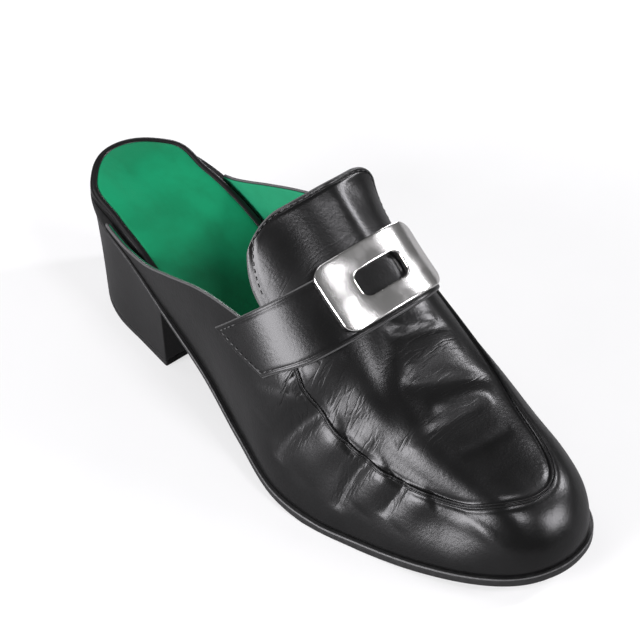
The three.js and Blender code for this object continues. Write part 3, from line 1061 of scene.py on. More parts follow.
def nearest_on(path: Array, places: Array) -> tuple[Array, Array, Array]:
    """Finds each place's nearest point on a polyline.

    Args:
        path: Points of the polyline, of shape (m, 3).
        places: Places, of shape (n, 3).

    Returns:
        The distance to it, its share of the way along, and the offset from it, of shape (n, 3).
    """
    start, run = path[:-1], np.diff(path, axis=0)
    best = np.full(len(places), np.inf)
    share = np.zeros(len(places))
    offset = np.zeros_like(places)
    for k, (a, r) in enumerate(zip(start, run)):
        q = np.clip((places - a) @ r / (r @ r), 0, 1)
        away = places - a - q[:, None] * r
        length = np.linalg.norm(away, axis=1)
        nearer = length < best
        best = np.where(nearer, length, best)
        share = np.where(nearer, (k + q) / len(run), share)
        offset = np.where(nearer[:, None], away, offset)
    return best, share, offset


@dataclass(frozen=True)
class Fold:
    """A soft trough or roll over the leather.

    rise is its height in millimetres, less than 0 for a trough, and width its half width.
    points are (distance, wall) places. worn is how strongly the leather wrinkles beside it.
    """

    rise: float
    width: float
    points: tuple[tuple[float, float], ...]
    worn: float = 0.0

    def path(self) -> Array:
        """The line over the last as places."""
        line = through(self.points, 14)
        return on_last(line[:, 0], line[:, 1])

    def at(self, places: Array) -> tuple[Array, Array]:
        """The fold's height and wear: a bell across its line that fades out at both its ends.

        Args:
            places: Places, of shape (n, 3).

        Returns:
            Heights in millimetres and wear from 0 to 1.
        """
        away, share, _ = nearest_on(self.path(), places)
        taper = np.sin(np.pi * np.clip(share, 0, 1)) ** 0.7
        height = self.rise * bell(away, 0, self.width) * taper
        return height, self.worn * bell(away, 0, self.width + 3.5) * (0.3 + 0.7 * taper)


FOLDS = (
    # Creases of the lateral wall, and the rolls that stand between them.
    Fold(-2.0, 3.0, ((159.5, -0.60), (157.9, -0.636), (154.4, -0.711), (149.7, -0.827), (146.5, -0.92)), 1.0),
    Fold(-0.5, 0.9, ((160.5, -0.64), (157.5, -0.70), (154.0, -0.80), (151.5, -0.88)), 0.8),
    Fold(-1.6, 2.5, ((182.0, -0.615), (180.5, -0.657), (178.2, -0.735), (176.5, -0.837), (174.5, -0.93)), 1),
    Fold(-1.1, 2.1, ((196.5, -0.60), (195.5, -0.634), (194.0, -0.729), (191.5, -0.86)), 0.8),
    Fold(-0.4, 1.5, ((153.0, -0.58), (150.7, -0.608), (141.9, -0.683), (131.0, -0.78)), 0.9),
    Fold(0.8, 6.0, ((149.5, -0.58), (147.2, -0.614), (145.2, -0.699), (139.0, -0.86)), 0.5),
    Fold(1.6, 6.5, ((170.5, -0.60), (168.4, -0.636), (164.7, -0.745), (156.5, -0.89)), 0.3),
    Fold(1.3, 4.8, ((189.5, -0.60), (188.1, -0.636), (187.0, -0.723), (182.5, -0.88)), 0.3),
    Fold(0.7, 4.8, ((206.0, -0.58), (204.5, -0.614), (201.8, -0.721), (197.0, -0.88)), 0.2),
    Fold(0.45, 3.0, ((219.0, -0.53), (222.7, -0.566), (228.5, -0.614), (235.0, -0.68)), 0.0),
    # The apron's lateral half: low rolls that fan from the seam, beside a soft valley.
    Fold(0.6, 4.5, ((150.0, -0.54), (151.9, -0.502), (154.4, -0.432), (156.0, -0.33)), 0.9),
    Fold(0.7, 4.5, ((162.0, -0.60), (163.8, -0.574), (167.9, -0.482), (171.5, -0.34)), 1.0),
    Fold(0.5, 4.0, ((175.0, -0.62), (176.4, -0.588), (178.4, -0.52), (178.2, -0.43)), 0.6),
    Fold(-0.9, 5.0, ((152.0, -0.10), (164.1, -0.132), (171.4, -0.211), (180.3, -0.299), (190.0, -0.37)), 0.2),
    # Its middle: rolls across the instep with creases between them.
    Fold(0.6, 2.6, ((161.0, -0.08), (162.4, -0.04), (164.1, 0.004), (165.5, 0.14)), 0.3),
    Fold(-0.8, 1.7, ((163.5, -0.11), (164.5, -0.068), (166.7, 0.004), (169.0, 0.18)), 0.6),
    Fold(1.0, 4.2, ((171.0, -0.14), (173.1, -0.088), (173.9, -0.004), (175.0, 0.18)), 1.0),
    Fold(-1.1, 2.6, ((177.0, -0.18), (179.0, -0.138), (182.3, -0.048), (185.6, 0.039), (190.5, 0.22)), 0.7),
    Fold(1.0, 3.2, ((186.5, -0.14), (188.3, -0.084), (190.5, -0.008), (194.0, 0.15)), 0.4),
    Fold(-0.6, 1.7, ((188.5, -0.44), (190.1, -0.387), (193.6, -0.227), (195.5, -0.08), (196.0, 0.09)), 0.7),
    Fold(-0.4, 2.0, ((205.0, -0.20), (207.0, -0.06), (207.5, 0.10)), 0.1),
)


@dataclass(frozen=True)
class ApronLine:
    """The seam that frames the apron, as (distance, wall) places from lateral to medial."""

    points: tuple[tuple[float, float], ...] = (
        (132.0, -0.50), (146.6, -0.548), (152.0, -0.585), (161.4, -0.605), (172.6, -0.625),
        (187.1, -0.625), (201.8, -0.585), (215.0, -0.495), (223.5, -0.345), (228.6, -0.17),
        (230.6, 0.0), (228.8, 0.125), (224.3, 0.20), (216.5, 0.245), (198.1, 0.295),
        (180.8, 0.36), (164.0, 0.41), (148.0, 0.44), (132.0, 0.45),
    )
    step: float = 0.7

    def line(self) -> tuple[Array, Array]:
        """The seam's line, in points an even length apart.

        Returns:
            Distances and wall places along it.
        """
        fine = through(self.points, 500)
        pace = arc_length(on_last(fine[:, 0], fine[:, 1])[None])[0]
        at = np.linspace(0, pace[-1], int(pace[-1] / self.step))
        return np.interp(at, pace, fine[:, 0]), np.interp(at, pace, fine[:, 1])

    def normals(self) -> Array:
        """The last's normals along the seam."""
        distance, wall = self.line()
        return LAST.normal(distance, np.where(wall < 0, -1.0, 1.0), 1 - np.abs(wall))


APRON = ApronLine()
SEAM_GROOVE = (0.30, 1.7, 0.8)
APRON_PAD = (0.15, 6.0, 4.0)
WALL_LEAN = 3.8


def lean_at(places: Array) -> Array:
    """How far the lateral wall of the vamp leans in: more up the wall, and nothing by the apron.

    The lean grows from the feather to the middle of the wall's height, fades over the apron, and
    runs from the strap's front edge to the toe.

    Args:
        places: Places on the last, of shape (n, 3).

    Returns:
        Distances inwards in millimetres.
    """
    x, distance, height = places.T
    low, high = feather(distance), LAST.size("ridge", distance)
    rise = (height - low) / np.maximum(high - low, 1.0)
    up = smoothstep(rise, 0.0, 0.55) * (1 - smoothstep(rise, 0.72, 0.97))
    along = smoothstep(distance - height, 92.0, 118.0) * (1 - smoothstep(distance, 212.0, 238.0))
    return WALL_LEAN * up * along * smoothstep(-x, 2.0, 14.0)


def wear_at(places: Array, normals: Array) -> tuple[Array, Array]:
    """How the leather departs from the last.

    The apron stands a little proud inside its seam, a groove runs on each side of the seam, the
    lateral wall leans in, and the folds are added up. The pad and the groove are bells across the
    seam, each given as (depth, centre, width).

    Args:
        places: Places on the last, of shape (n, 3).
        normals: Outward normals there.

    Returns:
        Displacement along the normals, and wear from 0 to 1.
    """
    distance, wall = APRON.line()
    path = on_last(distance, wall)[::4]
    away, share, offset = nearest_on(path, places)
    along = unit(np.gradient(path, axis=0))
    heading = along[np.clip((share * (len(path) - 1)).round().astype(int), 0, len(path) - 1)]
    sign = np.sign(np.einsum("ij,ij->i", np.cross(normals, heading), offset))
    seam = away * np.where(sign == 0, 1, sign)
    (groove, *groove_at), (pad, *pad_at) = SEAM_GROOVE, APRON_PAD
    height = pad * bell(seam, *pad_at) - groove * bell(away, *groove_at) - lean_at(places)
    worn = 0.25 * bell(away, 0, 4.0)
    for fold in FOLDS:
        rise, wear = fold.at(places)
        height = height + rise
        worn = np.maximum(worn, wear)
    return height, worn


# ---- sole, footbed and heel -----------------------------------------------------------------


def loop_shares(count: int, end: float = 1.0) -> Array:
    """Shares of the length from 0 to end that crowd towards the round heel, and toe at end 1."""
    return (1 - np.cos(np.linspace(0, math.acos(1 - 2 * end), count))) / 2


def sole_outline(t: Array, offset: Callable[[Array], Array]) -> Array:
    """A closed outline in plan: the lateral edge from heel to toe, then the medial edge back.

    Args:
        t: Shares of the length.
        offset: Gives how far out the outline lies at shares of the length.

    Returns:
        Places (x, distance).
    """
    lateral = LAST.edge(t, Side.LATERAL.value, offset(t))
    medial = LAST.edge(t, Side.MEDIAL.value, offset(t))
    return np.concatenate([lateral, medial[::-1][1:-1]])


def loop_normals(outline: Array) -> Array:
    """Outward normals of a closed outline in plan: a quarter turn from its run.

    Args:
        outline: Places (x, distance).

    Returns:
        Unit normals of the same shape.
    """
    along = unit(np.roll(outline, -1, 0) - np.roll(outline, 1, 0))
    normal = np.stack([along[:, 1], -along[:, 0]], 1)
    return normal if (normal * (outline - outline.mean(0))).sum() > 0 else -normal


def centre_line(outline: Array, reach: float) -> Array:
    """For each point of an outline, the middle of the outline at its distance from the heel.

    Args:
        outline: Closed outline in plan, whose halves mirror each other in count.
        reach: How far the middle stays from the outline's ends.

    Returns:
        Places (x, distance).
    """
    mirrored = np.roll(outline[::-1], 1, 0)
    middle = (outline + mirrored) / 2
    low, high = outline[:, 1].min() + reach, outline[:, 1].max() - reach
    distance = np.clip(middle[:, 1], low, high)
    half = len(outline) // 2 + 1
    x = np.interp(distance, middle[:half, 1], middle[:half, 0])
    return np.stack([x, distance], 1)


def board(
    outline: Array, profile: Array, bottom: Callable[[Array], Array], top: Callable[[Array], Array],
    reach: float, inner: int = 10,
) -> Surface:
    """A closed board: a profile carried round an outline and filled to the centre line.

    Args:
        outline: Closed outline in plan.
        profile: Rows of (inset, level, lift) from the top over the edge to the bottom. level 0
            is the board's bottom and 1 its top; lift is added in millimetres.
        bottom: Height of the bottom at a distance from the heel.
        top: Height of the top.
        reach: How far the centre line stays from the outline's ends.
        inner: Steps from the profile to the centre line.

    Returns:
        The surface.
    """
    out = loop_normals(outline)
    centre = centre_line(outline, reach)
    edge = outline[:, None] - out[:, None] * profile[None, :, :1]
    share = np.linspace(0, 1, inner + 1)[:-1][None, :, None]
    inward = centre[:, None] + (edge[:, :1] - centre[:, None]) * share
    under = edge[:, -1:] + (centre[:, None] - edge[:, -1:]) * (share + 1 / inner)
    plan = np.concatenate([inward, edge, under], 1)
    level = np.concatenate([np.full(inner, profile[0, 1]), profile[:, 1], np.full(inner, profile[-1, 1])])
    lift = np.concatenate([np.full(inner, profile[0, 2]), profile[:, 2], np.full(inner, profile[-1, 2])])
    low, high = bottom(plan[..., 1]), top(plan[..., 1])
    height = low + (high - low) * level + lift
    return Surface().grid(np.concatenate([plan, height[..., None]], -1), wrap_rows=True)


def feather(distance: Array) -> Array:
    """Height of the feather edge."""
    return LAST.size("feather", distance)


def sole_bottom(distance: Array) -> Array:
    """Height of the outsole's lower face."""
    return np.maximum(0.0, feather(distance) - LAST.size("sole", distance))


def quarter_turn(inset: float, level: float, radius: float, steps: int, down: bool) -> Array:
    """Profile rows round an edge: from a flat top outwards and down, or from a wall inwards.

    Args:
        inset: How far in the edge lies from the outline.
        level: 0 for the board's bottom or 1 for its top.
        radius: The edge's radius.
        steps: Number of rows.
        down: Whether the turn goes down from the top.

    Returns:
        Rows (inset, level, lift).
    """
    turn = np.linspace(0, np.pi / 2, steps)
    if down:
        back, lift = radius * (1 - np.sin(turn)), -radius * (1 - np.cos(turn))
    else:
        back, lift = radius * (1 - np.cos(turn)), radius * (1 - np.sin(turn))
    return np.stack([inset + back, np.full(steps, level), lift], 1)


@dataclass(frozen=True)
class Outsole:
    """The thin leather outsole, with a fine pale line along its upper edge: a painted highlight."""

    heel_edge: float = 0.3
    front_edge: float = 1.5
    step: tuple[float, float] = (15.0, 90.0)
    under: float = 0.3
    radius: float = 0.7
    centre_reach: float = 14.0
    highlight_radius: float = 0.2
    highlight_inset: float = 0.45
    highlight_sunk: float = 0.1
    highlight_start: float = 70.0

    def offset(self, t: Array) -> Array:
        """How far the edge stands out past the feather."""
        step = smoothstep(t * LAST.length, *self.step)
        return self.heel_edge + (self.front_edge - self.heel_edge) * step

    def top(self, distance: Array) -> Array:
        """Height of the sole's upper face."""
        return feather(distance) - self.under

    def build(self) -> None:
        """Makes the sole and the pale line of painted highlight along its edge."""
        outline = sole_outline(loop_shares(190), self.offset)
        profile = np.concatenate([
            quarter_turn(0, 1, self.radius, 6, True),
            quarter_turn(0, 0, self.radius, 6, False),
        ])
        sole = board(outline, profile, sole_bottom, self.top, self.centre_reach)
        finish_piece(sole, "outsole_leather", SOLE, Slot.SOLE, ["outsole"])
        self.highlight_line(outline)

    def highlight_line(self, outline: Array) -> None:
        """A fine raised pale line on the sole's shoulder, from waist to waist round the toe: a painted
        highlight along the sole's edge.

        Args:
            outline: The sole's outline in plan.
        """
        plan = outline - loop_normals(outline) * (self.radius * self.highlight_inset)
        height = self.top(plan[:, 1]) - self.highlight_sunk
        path = np.concatenate([plan, height[:, None]], 1)
        front = path[path[:, 1] > self.highlight_start]
        cord = tube(front, np.tile((0.0, 0.0, 1.0), (len(front), 1)), self.section())
        finish_piece(cord, "sole_edge_highlight_line", SOLE_EDGE_HIGHLIGHT, Slot.SOLE)

    def section(self) -> Array:
        """The line's section: a flat oval."""
        turn = np.linspace(0, 2 * np.pi, 8, endpoint=False)
        return np.stack([1.6 * self.highlight_radius * np.cos(turn), self.highlight_radius * np.sin(turn)], 1)


@dataclass(frozen=True)
class Footbed:
    """The footbed: a green sock inside a rolled black rim."""

    thickness: float = 3.0
    heel_inset: float = -0.3
    inside_inset: float = 3.6
    step: tuple[float, float] = (12.0, 32.0)
    rim: float = 2.9
    rim_radius: float = 1.0
    rim_inner_radius: float = 0.9
    tuck: float = 0.45
    sunk: float = 0.1
    dish: float = 1.0

    def offset(self, t: Array) -> Array:
        """How far out the board's edge lies from the feather."""
        step = smoothstep(t * LAST.length, *self.step)
        return -(self.heel_inset + (self.inside_inset - self.heel_inset) * step)

    def top(self, distance: Array) -> Array:
        """Height of the sock's face, a little under the rim's crown."""
        return feather(distance) + self.thickness - self.sunk

    def build(self) -> None:
        """Makes the rim and the sock."""
        outline = sole_outline(loop_shares(170), self.offset)
        self.rim_piece(outline)
        self.sock(outline)

    def rim_piece(self, outline: Array) -> None:
        """The bound edge: a closed section with a rolled top, carried round the outline.

        Args:
            outline: The board's outline in plan.
        """
        r, q, w = self.rim_radius, self.rim_inner_radius, self.rim
        fold = np.linspace(0, np.pi / 2, 6)
        outer = np.stack([r * (1 - np.cos(fold)), self.thickness - r * (1 - np.sin(fold))], 1)
        inner = np.stack([w - q * (1 - np.sin(fold)), self.thickness - q * (1 - np.cos(fold))], 1)
        crown = np.array([[0.5 * w, self.thickness + 0.05]])
        wall = np.array([[0.35, 0.0], [0.0, 0.35], [0.0, 1.25], [0.18, 1.42], [0.0, 1.6]])
        foot = np.array([[w, 0.4], [w - 0.4, 0.0]])
        section = np.concatenate([wall, outer[:-1], crown, inner[:-1], foot])
        out = loop_normals(outline)
        plan = outline[:, None] - out[:, None] * section[None, :, :1]
        height = feather(plan[..., 1]) + section[None, :, 1]
        grid = np.concatenate([plan, height[..., None]], -1)
        ring = Surface().grid(grid, wrap_rows=True, wrap_columns=True)
        finish_piece(ring, "footbed_rim", TRIM_CALF, Slot.UPPER)

    def sock(self, outline: Array) -> None:
        """The sock: a thin board that is dished under the heel and tucked against the rim.

        Args:
            outline: The board's outline in plan.
        """
        inside = outline - loop_normals(outline) * (self.rim - self.tuck)
        profile = np.array([
            [2.4, 1.0, 0.0], [1.3, 1.0, -0.02], [0.7, 1.0, -0.10], [0.35, 1.0, -0.26],
            [0.1, 1.0, -0.5], [0.0, 0.5, 0.0], [0.0, 0.0, 0.3], [0.3, 0.0, 0.0],
        ])
        sock = board(inside, profile, feather, self.top, 12.0, 16)
        x, distance, height = sock.places.T
        across = np.abs(x) / np.maximum(LAST.size("medial", distance), 8.0)
        seat = 1 - smoothstep(distance, 60.0, 110.0)
        hollow = self.dish * seat * (1 - np.clip(across / 0.72, 0, 1) ** 2) ** 2
        on_top = height > feather(distance) + 1.5
        ends = smoothstep(distance, 6.0, 26.0)
        sock.places[:, 2] -= hollow * ends * on_top
        finish_piece(sock, "footbed_sock", SOCK, Slot.FOOTBED, ["insole"])


@dataclass(frozen=True)
class Heel:
    """The leather-covered block heel and its top lift."""

    seat_back: float = 1.0
    breast: float = 65.7
    foot_back: float = 6.3
    inset: float = 0.3
    lift: float = 2.4
    gap: float = 0.25
    cover_bevel: float = 0.45
    lift_bevel: float = 0.35
    waist: float = 0.35
    foot_lateral: float = 0.9
    foot_medial: tuple[float, float] = (0.93, 0.77)
    corner: float = 0.9
    count: int = 420

    def seat(self) -> Array:
        """The seat's outline in plan, with softly rounded corners at the breast.

        The outline is resampled evenly and averaged with its neighbours under a bell, which
        rounds the two corners.

        Returns:
            Places (x, distance) round the seat.
        """
        t = loop_shares(80, self.breast / LAST.length)
        inset = np.full_like(t, -self.inset)
        lateral = LAST.edge(t, Side.LATERAL.value, inset)[::-1]
        medial = LAST.edge(t, Side.MEDIAL.value, inset)[1:]
        back = np.concatenate([lateral, medial])
        front = back[-1] + (back[0] - back[-1]) * np.linspace(0, 1, 90)[1:-1, None]
        loop = np.concatenate([back, front, back[:1]])
        pace = arc_length(loop[None])[0]
        at = np.linspace(0, pace[-1], self.count, endpoint=False)
        even = np.stack([np.interp(at, pace, loop[:, k]) for k in range(2)], 1)
        reach = np.arange(-8, 9)
        weight = np.exp(-((reach * pace[-1] / self.count / self.corner) ** 2))
        return sum(w * np.roll(even, k, 0) for k, w in zip(reach, weight / weight.sum()))

    def foot(self, seat: Array) -> Array:
        """The foot's outline, a share of the seat's on each side.

        Args:
            seat: The seat's outline.

        Returns:
            Places (x, distance), one for each of the seat's.
        """
        forward = (seat[:, 1] - self.seat_back) / (self.breast - self.seat_back)
        back, breast = self.foot_medial
        medial = back + (breast - back) * forward
        share = np.where(seat[:, 0] > 0, medial, self.foot_lateral)
        distance = self.foot_back + (self.breast - self.foot_back) * forward
        return np.stack([seat[:, 0] * share, distance], 1)

    def block(self, low: float, high: Array | float, rows: int, bevel: float, waist: float) -> Surface:
        """A closed block between two levels of the heel.

        Args:
            low: Height of its lower face.
            high: Height of its upper face, one or one per point of the outline.
            rows: Number of rows up its wall.
            bevel: Radius of its lower and upper edges.
            waist: How far the wall is drawn in halfway up.

        Returns:
            The surface.
        """
        seat = self.seat()
        foot = self.foot(seat)
        full = feather(np.zeros(1))[0]
        height = np.broadcast_to(high, len(seat))
        share = np.linspace(0, 1, rows)
        turn = np.linspace(0, np.pi / 2, 5)[:-1]
        ends = bevel * (1 - np.cos(turn)) / (height.mean() - low)
        share = np.concatenate([ends, share[1:-1], 1 - ends[::-1]])
        z = low + (height[:, None] - low) * share[None]
        into = np.minimum(z - low, height[:, None] - z)
        inset = bevel * (1 - edge_round(into, bevel)) + waist * np.sin(np.pi * share)[None]
        rise = np.clip(z / full, 0, 1)[..., None]
        plan = foot[:, None] * (1 - rise) + seat[:, None] * rise
        out = loop_normals(seat)
        plan = plan - out[:, None] * inset[..., None]
        wall = np.concatenate([plan, z[..., None]], -1)
        middle = wall.mean(0)
        centre = np.stack([middle[0], middle[-1]])
        fill = np.linspace(0, 1, 5)[:-1][None, :, None]
        lower = centre[0] + (wall[:, :1] - centre[0]) * fill
        upper = (centre[1] + (wall[:, -1:] - centre[1]) * fill)[:, ::-1]
        return Surface().grid(np.concatenate([lower, wall, upper], 1), wrap_rows=True)

    def build(self) -> None:
        """Makes the covered block and the top lift."""
        seat = self.seat()
        top = sole_bottom(seat[:, 1]) - 0.05
        block = self.block(self.lift + self.gap, top, 26, self.cover_bevel, self.waist)
        finish_piece(block, "heel_cover", HEEL_CALF, Slot.HEEL, ["heel_block"])
        lift = self.block(0.0, self.lift + 0.05, 5, self.lift_bevel, 0.0)
        finish_piece(lift, "top_lift_rubber", LIFT, Slot.LIFT, ["top_lift"])


# ---- upper ----------------------------------------------------------------------------------


class Layer(Enum):
    """The two layers of the upper's wall, each as (middle offset, half thickness, trim)."""

    SKIN = (-0.6, 0.6, 0.0)
    LINING = (-1.6, 0.42, 0.55)


@dataclass(frozen=True)
class Upper:
    """The quarters and vamp: one skin over one lining, from the top line to the feather."""

    throat: float = 66.0
    inside: tuple[float, float, float] = (4.0, 150.0, 20.0)
    lining_fineness: float = 0.55
    lateral_line: tuple[tuple[float, float], ...] = (
        (31, 48), (38, 46.8), (46, 45.9), (59, 47.7), (74, 53.6), (92, 60.7), (106, 64), (119, 65),
        (130, 64),
    )
    medial_line: tuple[tuple[float, float], ...] = (
        (37, 46.6), (43, 48.2), (51, 51.5), (61, 56), (75, 61.5), (92, 67), (106, 71), (121, 73),
        (134, 68),
    )

    def ridge_start(self) -> float:
        """Distance at which the throat line crosses the ridge."""
        return float(LAST.slant(np.array(self.throat), np.array(1.0), np.array(1.0)))

    def mouth_height(self, distance: Array, line: tuple[tuple[float, float], ...]) -> Array:
        """Height of the mouth's edge: the top line, then the throat's slanting line.

        Args:
            distance: Distances from the back of the heel.
            line: The top line's (distance, height) points on this side.

        Returns:
            Heights above the ground.
        """
        curve = through(line, 400)
        top = np.interp(distance, curve[:, 0], curve[:, 1])
        return np.where(distance > line[-1][0], distance - self.throat, top)

    def half(self, layer: Layer, side: Side, fine: float) -> tuple[Array, Array, Array]:
        """One side of a layer as a grid of places on the last.

        Args:
            layer: Which layer.
            side: Which side.
            fine: 1 for the finest grid, less for a coarser one.

        Returns:
            Places, half thicknesses and distances from the mouth's edge.
        """
        _, half, trim = layer.value
        line = self.lateral_line if side is Side.LATERAL else self.medial_line
        back, corner, ridge = line[0][0] + trim, float(line[-1][0]), self.ridge_start()
        toe = LAST.length
        start = edge_steps(half, 5, (1.2, 2.2))
        low = math.acos(1 - 2 * ridge / toe)
        front = toe * (1 - np.cos(np.linspace(low, np.pi, int(116 * fine) + 1))) / 2
        distance = np.concatenate([
            back + start[:-1],
            np.linspace(back + start[-1], corner, int(64 * fine))[:-1],
            np.linspace(corner, ridge, int(18 * fine))[:-1],
            front,
        ])
        height = self.mouth_height(distance, line) - trim
        mouth = np.where(distance < ridge - 1e-6, LAST.girth_at_height(distance, height), 1.0)
        dense = np.linspace(0, 1, 140)[None] * mouth[:, None]
        places = LAST.point(distance[:, None], side.value, dense)
        arc = arc_length(places) + np.linspace(0, 1e-6, 140)[None]
        girth = even_columns(
            arc, dense, edge_steps(half, 4, (1.2,)), edge_steps(half, 5, (1.1, 1.9)), int(90 * fine)
        )
        grid = LAST.point(distance[:, None], side.value, girth)
        run = arc_length(grid)
        from_mouth = run[:, -1:] - run
        beyond = np.maximum(distance - ridge, 0)[:, None]
        from_mouth = np.hypot(from_mouth, beyond) + 4 * beyond
        from_back = (distance - back)[:, None] + 0 * run
        nearest = np.minimum(np.minimum(run, from_mouth), from_back)
        return grid, half * edge_round(nearest, half), from_mouth

    def build(self) -> None:
        """Makes the skin and the lining."""
        skin = self.layer(Layer.SKIN, 1.0)
        finish_piece(skin, "upper_skin", UPPER_CALF, Slot.UPPER, ["upper"])
        lining = self.layer(Layer.LINING, self.lining_fineness)
        finish_piece(lining, "upper_lining", LINING, Slot.LINING)

    def layer(self, layer: Layer, fine: float) -> Surface:
        """Both sides of a layer, worn and closed.

        Args:
            layer: Which layer.
            fine: 1 for the finest grid, less for a coarser one.

        Returns:
            The surface, with its wear and its distance from the mouth as marks.
        """
        base = Surface()
        for side in Side:
            grid, half, mouth = self.half(layer, side, fine)
            base.grid(grid, flip=side is Side.MEDIAL, half=half, edge=mouth)
        base = base.merged().facing(self.inside)
        height, base.marks["worn"] = wear_at(base.places, base.normals())
        shaped = base.moved(layer.value[0] + height)
        return shaped.thick(shaped.marks.pop("half"))


@dataclass(frozen=True)
class ApronSeam:
    """The raised seam round the apron: two rolled edges side by side, drawn into one ridge."""

    width: float = 0.95
    rise: float = 0.8
    inner_share: float = 0.85
    valley_share: float = 0.92
    foot: float = 1.2
    lift: float = 0.05
    worn: float = 0.15

    def section(self) -> Array:
        """Two half ovals over a flat foot, with the valley between them filled.

        Returns:
            Points (across, up) of the closed section.
        """
        turn, w = np.linspace(0, np.pi, 9), self.width
        across, up = 0.5 * w * np.cos(turn[::-1]), self.rise * np.sin(turn)
        outer = np.stack([across - 0.5 * w, up], 1)
        inner = np.stack([across + 0.5 * w, self.inner_share * up], 1)
        valley = [[0.0, self.valley_share * self.rise]]
        return np.concatenate([outer[:-1], valley, inner[1:], [[w, -self.foot], [-w, -self.foot]]])

    def build(self) -> None:
        """Carries the section along the seam."""
        distance, wall = APRON.line()
        normals = APRON.normals()
        path = on_last(distance, wall)
        height, _ = wear_at(path, normals)
        path = path + normals * (height + self.lift)[:, None]
        seam = tube(path, normals, self.section())
        seam.marks = {"worn": np.full(len(seam.places), self.worn)}
        finish_piece(seam, "apron_seam", TRIM_CALF, Slot.UPPER)


# ---- tongue ---------------------------------------------------------------------------------


@dataclass(frozen=True)
class Tongue:
    """The tongue: it runs up from under the strap and stands free, with rounded corners.

    front_line and back_line number the slanting lines under the strap. crown, hollow and
    turned_edge are each (depth, centre, width) of a bell: the first two across the free part, and
    the last from its edge. stitch is (length, gap, radius).
    """

    front_line: float = 64.6
    back_line: float = 54.0
    lateral_girth: float = 0.46
    medial_girth: float = 0.53
    end: tuple[float, float, float] = (0.8, 117.5, 102.8)
    half_width: float = 26.2
    arch: tuple[float, float] = (2.0, 3.8)
    skew: tuple[float, float] = (2.8, 2.4)
    corner_share: float = 0.35
    corner_start: float = 0.6
    length: float = 42.0
    crown: tuple[float, float, float] = (1.25, 6.0, 5.4)
    hollow: tuple[float, float, float] = (0.5, -4.0, 6.0)
    turned_edge: tuple[float, float, float] = (0.35, 2.0, 0.55)
    seam_inset: float = 2.0
    stitch: tuple[float, float, float] = (1.9, 0.7, 0.22)

    def on_last(self, number: Array, place: Array) -> Array:
        """Where a column of the tongue crosses a slanting line on the last.

        Args:
            number: The line's number, which is distance less height.
            place: The column, from -1 (lateral) to 1 (medial).

        Returns:
            Places on the last.
        """
        side = np.where(place < 0, -1.0, 1.0)
        low = np.where(place < 0, self.lateral_girth, self.medial_girth)
        girth = 1 - np.abs(place) * (1 - low)
        return LAST.point(LAST.slant(number, side, girth), side, girth)

    def free_end(self, place: Array) -> Array:
        """The free end: an arch, by the square of the place, that is skewed to the medial side.

        Args:
            place: Columns, from -1 to 1.

        Returns:
            Places along the end.
        """
        x, distance, height = self.end
        return np.stack([
            x + place * self.half_width,
            distance - self.arch[0] * place**2 + self.skew[0] * place,
            height - self.arch[1] * place**2 + self.skew[1] * place,
        ], -1)

    def grid(self, under: Array, free: Array, place: Array) -> Array:
        """Places on the tongue.

        Args:
            under: Shares of the way under the strap, from 0 to 1.
            free: Shares of the free part, where 1 is its end.
            place: Columns, from -1 to 1.

        Returns:
            A grid with a row for each share and a column for each place.
        """
        number = self.front_line + (self.back_line - self.front_line) * under
        lower = self.on_last(*np.broadcast_arrays(number[:, None], place[None]))
        root = self.on_last(np.full_like(place, self.back_line), place)
        leave = unit(root - self.on_last(np.full_like(place, self.back_line + 1), place))
        end = self.free_end(place)
        reach = np.linalg.norm(end - root, axis=1, keepdims=True) / 2
        control = root + leave * reach
        into = np.maximum(0, (np.abs(place) - self.corner_start) / (1 - self.corner_start))
        stop = 1 - self.corner_share * (1 - np.sqrt(np.clip(1 - into**2, 0, 1)))
        k = (free[:, None] * stop[None])[..., None]
        upper = (1 - k) ** 2 * root + 2 * k * (1 - k) * control + k**2 * end
        return np.concatenate([lower, upper])

    def layer(self, offset: float, half: float, trim: float, fine: float) -> Surface:
        """A closed layer of the tongue.

        Args:
            offset: Where its middle lies along the normals.
            half: Its half thickness.
            trim: How far its edge stays inside the tongue's.
            fine: 1 for the finest grid.

        Returns:
            The surface, with the distance from its edge as a mark.
        """
        steps = edge_steps(half, 5, (1.0, 1.6, 2.2, 2.8))
        width = self.half_width - trim
        inner = np.linspace(-width + steps[-1], width - steps[-1], int(64 * fine))
        across = np.concatenate([-width + steps[:-1], inner, (width - steps[:-1])[::-1]])
        up = np.linspace(0, self.length - trim - steps[-1], int(52 * fine))
        up = np.concatenate([up, (self.length - trim - steps[:-1])[::-1]]) / self.length
        grid = self.grid(np.linspace(0, 1, 9)[:-1], up, across / self.half_width)
        rows = arc_length(grid, 0)
        from_side = np.broadcast_to((width - np.abs(across))[None], rows.shape)
        edge = np.minimum(np.minimum(rows[-1:] - rows, from_side), rows)
        base = Surface().grid(grid, half=half * edge_round(edge, half), edge=edge)
        base = base.facing((2.0, 130.0, 40.0))
        _, distance, height = base.places.T
        base.marks["worn"] = 0.25 + 0.6 * bell(distance - height, 52.0, 9.0)
        shaped = base.moved(offset + self.bend(base))
        return shaped.thick(shaped.marks.pop("half"))

    def bend(self, base: Surface) -> Array:
        """How the tongue bends from its arch: crowned, hollowed beside that, and turned at its edge.

        Args:
            base: The tongue's surface, with the distance from its edge as a mark.

        Returns:
            Distances along the normals.
        """
        x, _, height = base.places.T
        (crown, *crown_at), (hollow, *hollow_at) = self.crown, self.hollow
        turned, *turned_at = self.turned_edge
        high = smoothstep(height, 76, 90) * (1 - 0.6 * smoothstep(height, 98, 104))
        sunk = hollow * bell(x, *hollow_at) * smoothstep(height, 74, 88)
        return crown * bell(x, *crown_at) * high - sunk - turned * bell(base.marks["edge"], *turned_at)

